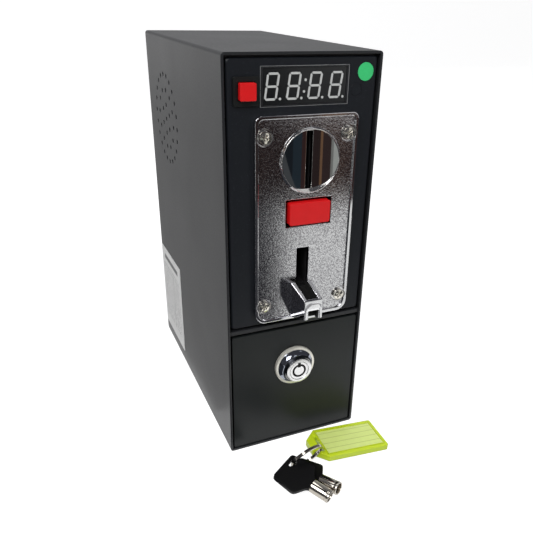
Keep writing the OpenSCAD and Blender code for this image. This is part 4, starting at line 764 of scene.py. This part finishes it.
def barrels():
    """The two tubular keys' barrels: rolled collar, groove, bore and shank."""
    prof = [(0.15, 3.45), (0.0, 3.7), (0.0, 4.05), (0.12, 4.28), (0.35, 4.38), (1.6, 4.38),
            (1.85, 4.3), (1.95, 4.0), (2.4, 4.0), (2.5, 4.24), (2.7, 4.3), (13.3, 4.3),
            (13.3, 2.5), (9.3, 2.5), (9.3, 0.02), (8.0, 0.02), (8.0, 3.4), (0.3, 3.4)]
    parts = []
    for at, turn in KEYS:
        place = (Matrix.Translation(P(*at)) @ Matrix.Rotation(math.radians(turn[0]), 4, "Z")
                 @ Matrix.Rotation(math.radians(-turn[1]), 4, "Y")
                 @ Matrix.Rotation(math.radians(turn[2]), 4, "X"))
        parts.append(lathe(prof, place, 64))
    vs, fs = merge(parts)
    o = piece("key_barrels_turned", vs, fs, M["key_nickel"], "keys", True)
    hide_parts("key_barrels")
    return o


def panel_gap_fill():
    """A black piece behind the panel's top corners, which closes the gap to the case."""
    d0, d1 = 3.6, 4.4
    side, inner, low, mid, high = 46.2, 42.6, 236, 252.6, 256.7
    parts = []
    for x0, x1, z0, z1 in ((-side, side, mid, high), (-side, -inner, low, mid),
                           (inner, side, low, mid)):
        parts.append(sheet_solid([(d0, z0), (d1, z0), (d1, z1), (d0, z1)], x0, x1))
    vs, fs = merge(parts)
    return piece("panel_gap_fill", vs, fs, M["frame_black"], "case")


lock_front()
keyway_shade()
barrels()
panel_gap_fill()
spout_channel_shade()
spout_lips()
spout_arch()
tag_face()
for i, (sx, sz) in enumerate(((-1, -1), (1, -1), (-1, 1), (1, 1))):
    screw_dome(f"plate_screw_dome_{i}", PLATE_X + sx * PLATE_SCREW_X, PLATE_Z + sz * PLATE_SCREW_Z)
frame_line()
ring_of("panel_gate_mark", 32.3, 237.8, 0.98, 3.3, 3.75, 0.06, M["panel_plastic"], "case")
split_ring()


# ---------------------------------------------------------------- stage
MIRROR_X, MIRROR_Y = -0.144, 0.2135  # the photo camera's mirror image in the coin plate
DARK_SIDE, BRIGHT_END = 0.4307, 0.64  # slopes of two lines from there: x for each step of -y
NEAR_Z = 0.0035


def emit_material(name, color):
    """A flat glowing card of the given colour."""
    m = bpy.data.materials.new(name)
    m.use_nodes = True
    t = m.node_tree
    t.nodes.clear()
    out = t.nodes.new("ShaderNodeOutputMaterial")
    e = t.nodes.new("ShaderNodeEmission")
    e.inputs["Color"].default_value = (*color, 1)
    e.inputs["Strength"].default_value = 1.0
    t.links.new(e.outputs[0], out.inputs["Surface"])
    return m


def card(name, vs, fs, color):
    """A stage card that neither the camera nor matt surfaces see: it shows in reflections only."""
    me = bpy.data.meshes.new(name)
    me.from_pydata(vs, [], fs)
    me.materials.append(emit_material(name, color))
    o = bpy.data.objects.new(name, me)
    bpy.context.collection.objects.link(o)
    o.visible_camera = False
    o.visible_diffuse = False
    o.visible_shadow = False


def line(slope, y0, y1):
    """Two points, at y0 and y1, of a line from the mirror image of the photo's camera."""
    return [(MIRROR_X + (MIRROR_Y - y) * slope, y) for y in (y0, y1)]


def quad_card(name, points, z, color):
    card(name, [(x, y, z) for x, y in points], [(0, 1, 2, 3)], color)


def flags():
    """Cards that every glossy ray sees, in paint as in metal. They stand for the photo's room.

    A fan of cards in front gives the coin dish its stripes. The near cards and the soft box are
    placed from the mirror image of the photo's camera, so the plate's dark third and bright rest
    match the photo in its own view alone. The left card dims the floor in the case's left side.
    """
    cx, cy, z = 0.004, -0.096, 0.003
    fan = [(-75, -30, (0.10, 0.105, 0.11)), (-30, 1, (0.30, 0.32, 0.31)),
           (1, 3.5, (0.16, 0.165, 0.16)), (3.5, 12, (0.030, 0.020, 0.020)),
           (12, 14.5, (0.13, 0.075, 0.045)), (14.5, 27, (0.022, 0.015, 0.015)),
           (27, 30, (0.11, 0.06, 0.035)), (30, 34, (0.030, 0.016, 0.016)),
           (34, 44, (0.016, 0.024, 0.032)), (44, 62, (0.010, 0.013, 0.017)),
           (62, 95, (0.020, 0.020, 0.022))]
    radii = (0.50, 3.2)
    for i, (a0, a1, c) in enumerate(fan):
        vs = []
        n = max(2, int((a1 - a0) / 3))
        for k in range(n + 1):
            a = math.radians(a0 + (a1 - a0) * k / n)
            for r in radii:
                vs.append((cx + r * math.sin(a), cy - r * math.cos(a), z))
        fs = [(2 * k, 2 * k + 1, 2 * k + 3, 2 * k + 2) for k in range(n)]
        card(f"flag_{i}", vs, fs, c)
    quad_card("flag_near_left", line(DARK_SIDE, -0.24, -0.62) + [(-0.6, -0.62), (-0.6, -0.24)],
              NEAR_Z, (0.04, 0.04, 0.045))
    quad_card("flag_near_right", line(DARK_SIDE, -0.20, -0.56)
              + list(reversed(line(BRIGHT_END, -0.20, -0.56))), NEAR_Z, (0.85, 0.86, 0.84))
    quad_card("flag_near_dark", line(BRIGHT_END, -0.20, -0.56) + [(1.0, -0.62), (1.0, -0.20)],
              NEAR_Z, (0.05, 0.055, 0.06))
    quad_card("flag_side", [(-0.6, -0.10), (-0.035, -0.10), (-0.035, -0.26), (-0.6, -0.26)],
              0.002, (0.05, 0.055, 0.065))
    quad_card("flag_left", [(-0.052, -0.05), (-1.6, -0.05), (-1.6, 2.0), (-0.052, 2.0)],
              0.003, (0.62, 0.62, 0.62))
    away, first, step, spans = 1.75, 23.5, 4, 6
    vs = []
    for k in range(spans + 1):
        a = math.radians(first + step * k)
        vs += [(MIRROR_X + away * math.sin(a), MIRROR_Y - away * math.cos(a), h)
               for h in (0.01, 0.95)]
    card("soft_box", vs, [(2 * k, 2 * k + 2, 2 * k + 3, 2 * k + 1) for k in range(spans)],
         (0.80, 0.80, 0.80))


def any_ray(t, *names):
    """1 where the ray is of one of the named kinds."""
    path = t.nodes.new("ShaderNodeLightPath")
    value = path.outputs[names[0]]
    for name in names[1:]:
        node = t.nodes.new("ShaderNodeMath")
        node.operation = "MAXIMUM"
        t.links.new(value, node.inputs[0])
        t.links.new(path.outputs[name], node.inputs[1])
        value = node.outputs[0]
    return value


def make_floor():
    """Floor and curved backdrop: grey to the lamps, pale to camera, glossy and clear rays."""
    me = bpy.data.meshes.new("floor")
    bm = bmesh.new()
    s = 3.0
    prof = [(-s, 0.0)] + [(2.0 + 0.3 * math.sin(a), 0.3 - 0.3 * math.cos(a))
                          for a in [math.radians(k * 9) for k in range(11)]] + [(2.3, 0.36)]
    rows = [[bm.verts.new((x, y, z)) for x in (-s, s)] for y, z in prof]
    for a, b in zip(rows, rows[1:]):
        f = bm.faces.new((a[0], a[1], b[1], b[0]))
        f.smooth = True
    bm.to_mesh(me)
    bm.free()
    floor = bpy.data.objects.new("floor", me)
    bpy.context.collection.objects.link(floor)
    m = bpy.data.materials.new("floor")
    m.use_nodes = True
    t = m.node_tree
    b = t.nodes["Principled BSDF"]
    b.inputs["Base Color"].default_value = (0.36, 0.36, 0.36, 1)
    b.inputs["Roughness"].default_value = 0.9
    k = t.nodes.new("ShaderNodeMath")
    k.operation = "MULTIPLY"
    t.links.new(any_ray(t, "Is Camera Ray", "Is Glossy Ray", "Is Transmission Ray"), k.inputs[0])
    k.inputs[1].default_value = 0.89
    e = t.nodes.new("ShaderNodeEmission")
    t.links.new(k.outputs[0], e.inputs["Strength"])
    add = t.nodes.new("ShaderNodeAddShader")
    t.links.new(b.outputs[0], add.inputs[0])
    t.links.new(e.outputs[0], add.inputs[1])
    t.links.new(add.outputs[0], t.nodes["Material Output"].inputs["Surface"])
    me.materials.append(m)


def make_world():
    """Dim in front and paler behind, and white to the camera."""
    w = bpy.data.worlds.new("world")
    bpy.context.scene.world = w
    w.use_nodes = True
    t = w.node_tree
    bg = t.nodes["Background"]
    tc = t.nodes.new("ShaderNodeTexCoord")
    sep = t.nodes.new("ShaderNodeSeparateXYZ")
    t.links.new(tc.outputs["Generated"], sep.inputs[0])
    r = t.nodes.new("ShaderNodeValToRGB")
    mr = t.nodes.new("ShaderNodeMapRange")
    t.links.new(sep.outputs["Y"], mr.inputs[0])
    mr.inputs[1].default_value = -1.0
    mr.inputs[2].default_value = 1.0
    t.links.new(mr.outputs[0], r.inputs["Fac"])
    el = r.color_ramp.elements
    el[0].position, el[0].color = 0.45, (0.10, 0.10, 0.11, 1)
    el[1].position, el[1].color = 0.85, (0.55, 0.55, 0.56, 1)
    mixc = t.nodes.new("ShaderNodeMix")
    mixc.data_type = "RGBA"
    t.links.new(any_ray(t, "Is Camera Ray"), mixc.inputs[0])
    t.links.new(r.outputs["Color"], mixc.inputs[6])
    mixc.inputs[7].default_value = (1, 1, 1, 1)
    t.links.new(mixc.outputs[2], bg.inputs["Color"])
    bg.inputs["Strength"].default_value = 1.0


def area(name, loc, target, size, power):
    """A rectangular lamp at loc, aimed at target."""
    lamp = bpy.data.lights.new(name, "AREA")
    lamp.shape = "RECTANGLE"
    lamp.size, lamp.size_y = size
    lamp.energy = power
    o = bpy.data.objects.new(name, lamp)
    bpy.context.collection.objects.link(o)
    o.location = loc
    o.rotation_euler = (Vector(target) - Vector(loc)).to_track_quat("-Z", "Y").to_euler()
    return o


make_floor()
make_world()
flags()
area("key", (-0.9, -0.9, 1.25), (0, 0, 0.12), (0.9, 0.9), 20)
area("front_high", (0.5, -1.2, 1.3), (0, -0.05, 0.14), (1.0, 0.6), 12).visible_glossy = False
area("top", (0.1, 0.25, 1.6), (0, 0, 0.2), (0.8, 0.8), 6)

# ---------------------------------------------------------------- finish
bpy.context.scene.view_settings.view_transform = "Standard"
bpy.context.view_layer.update()
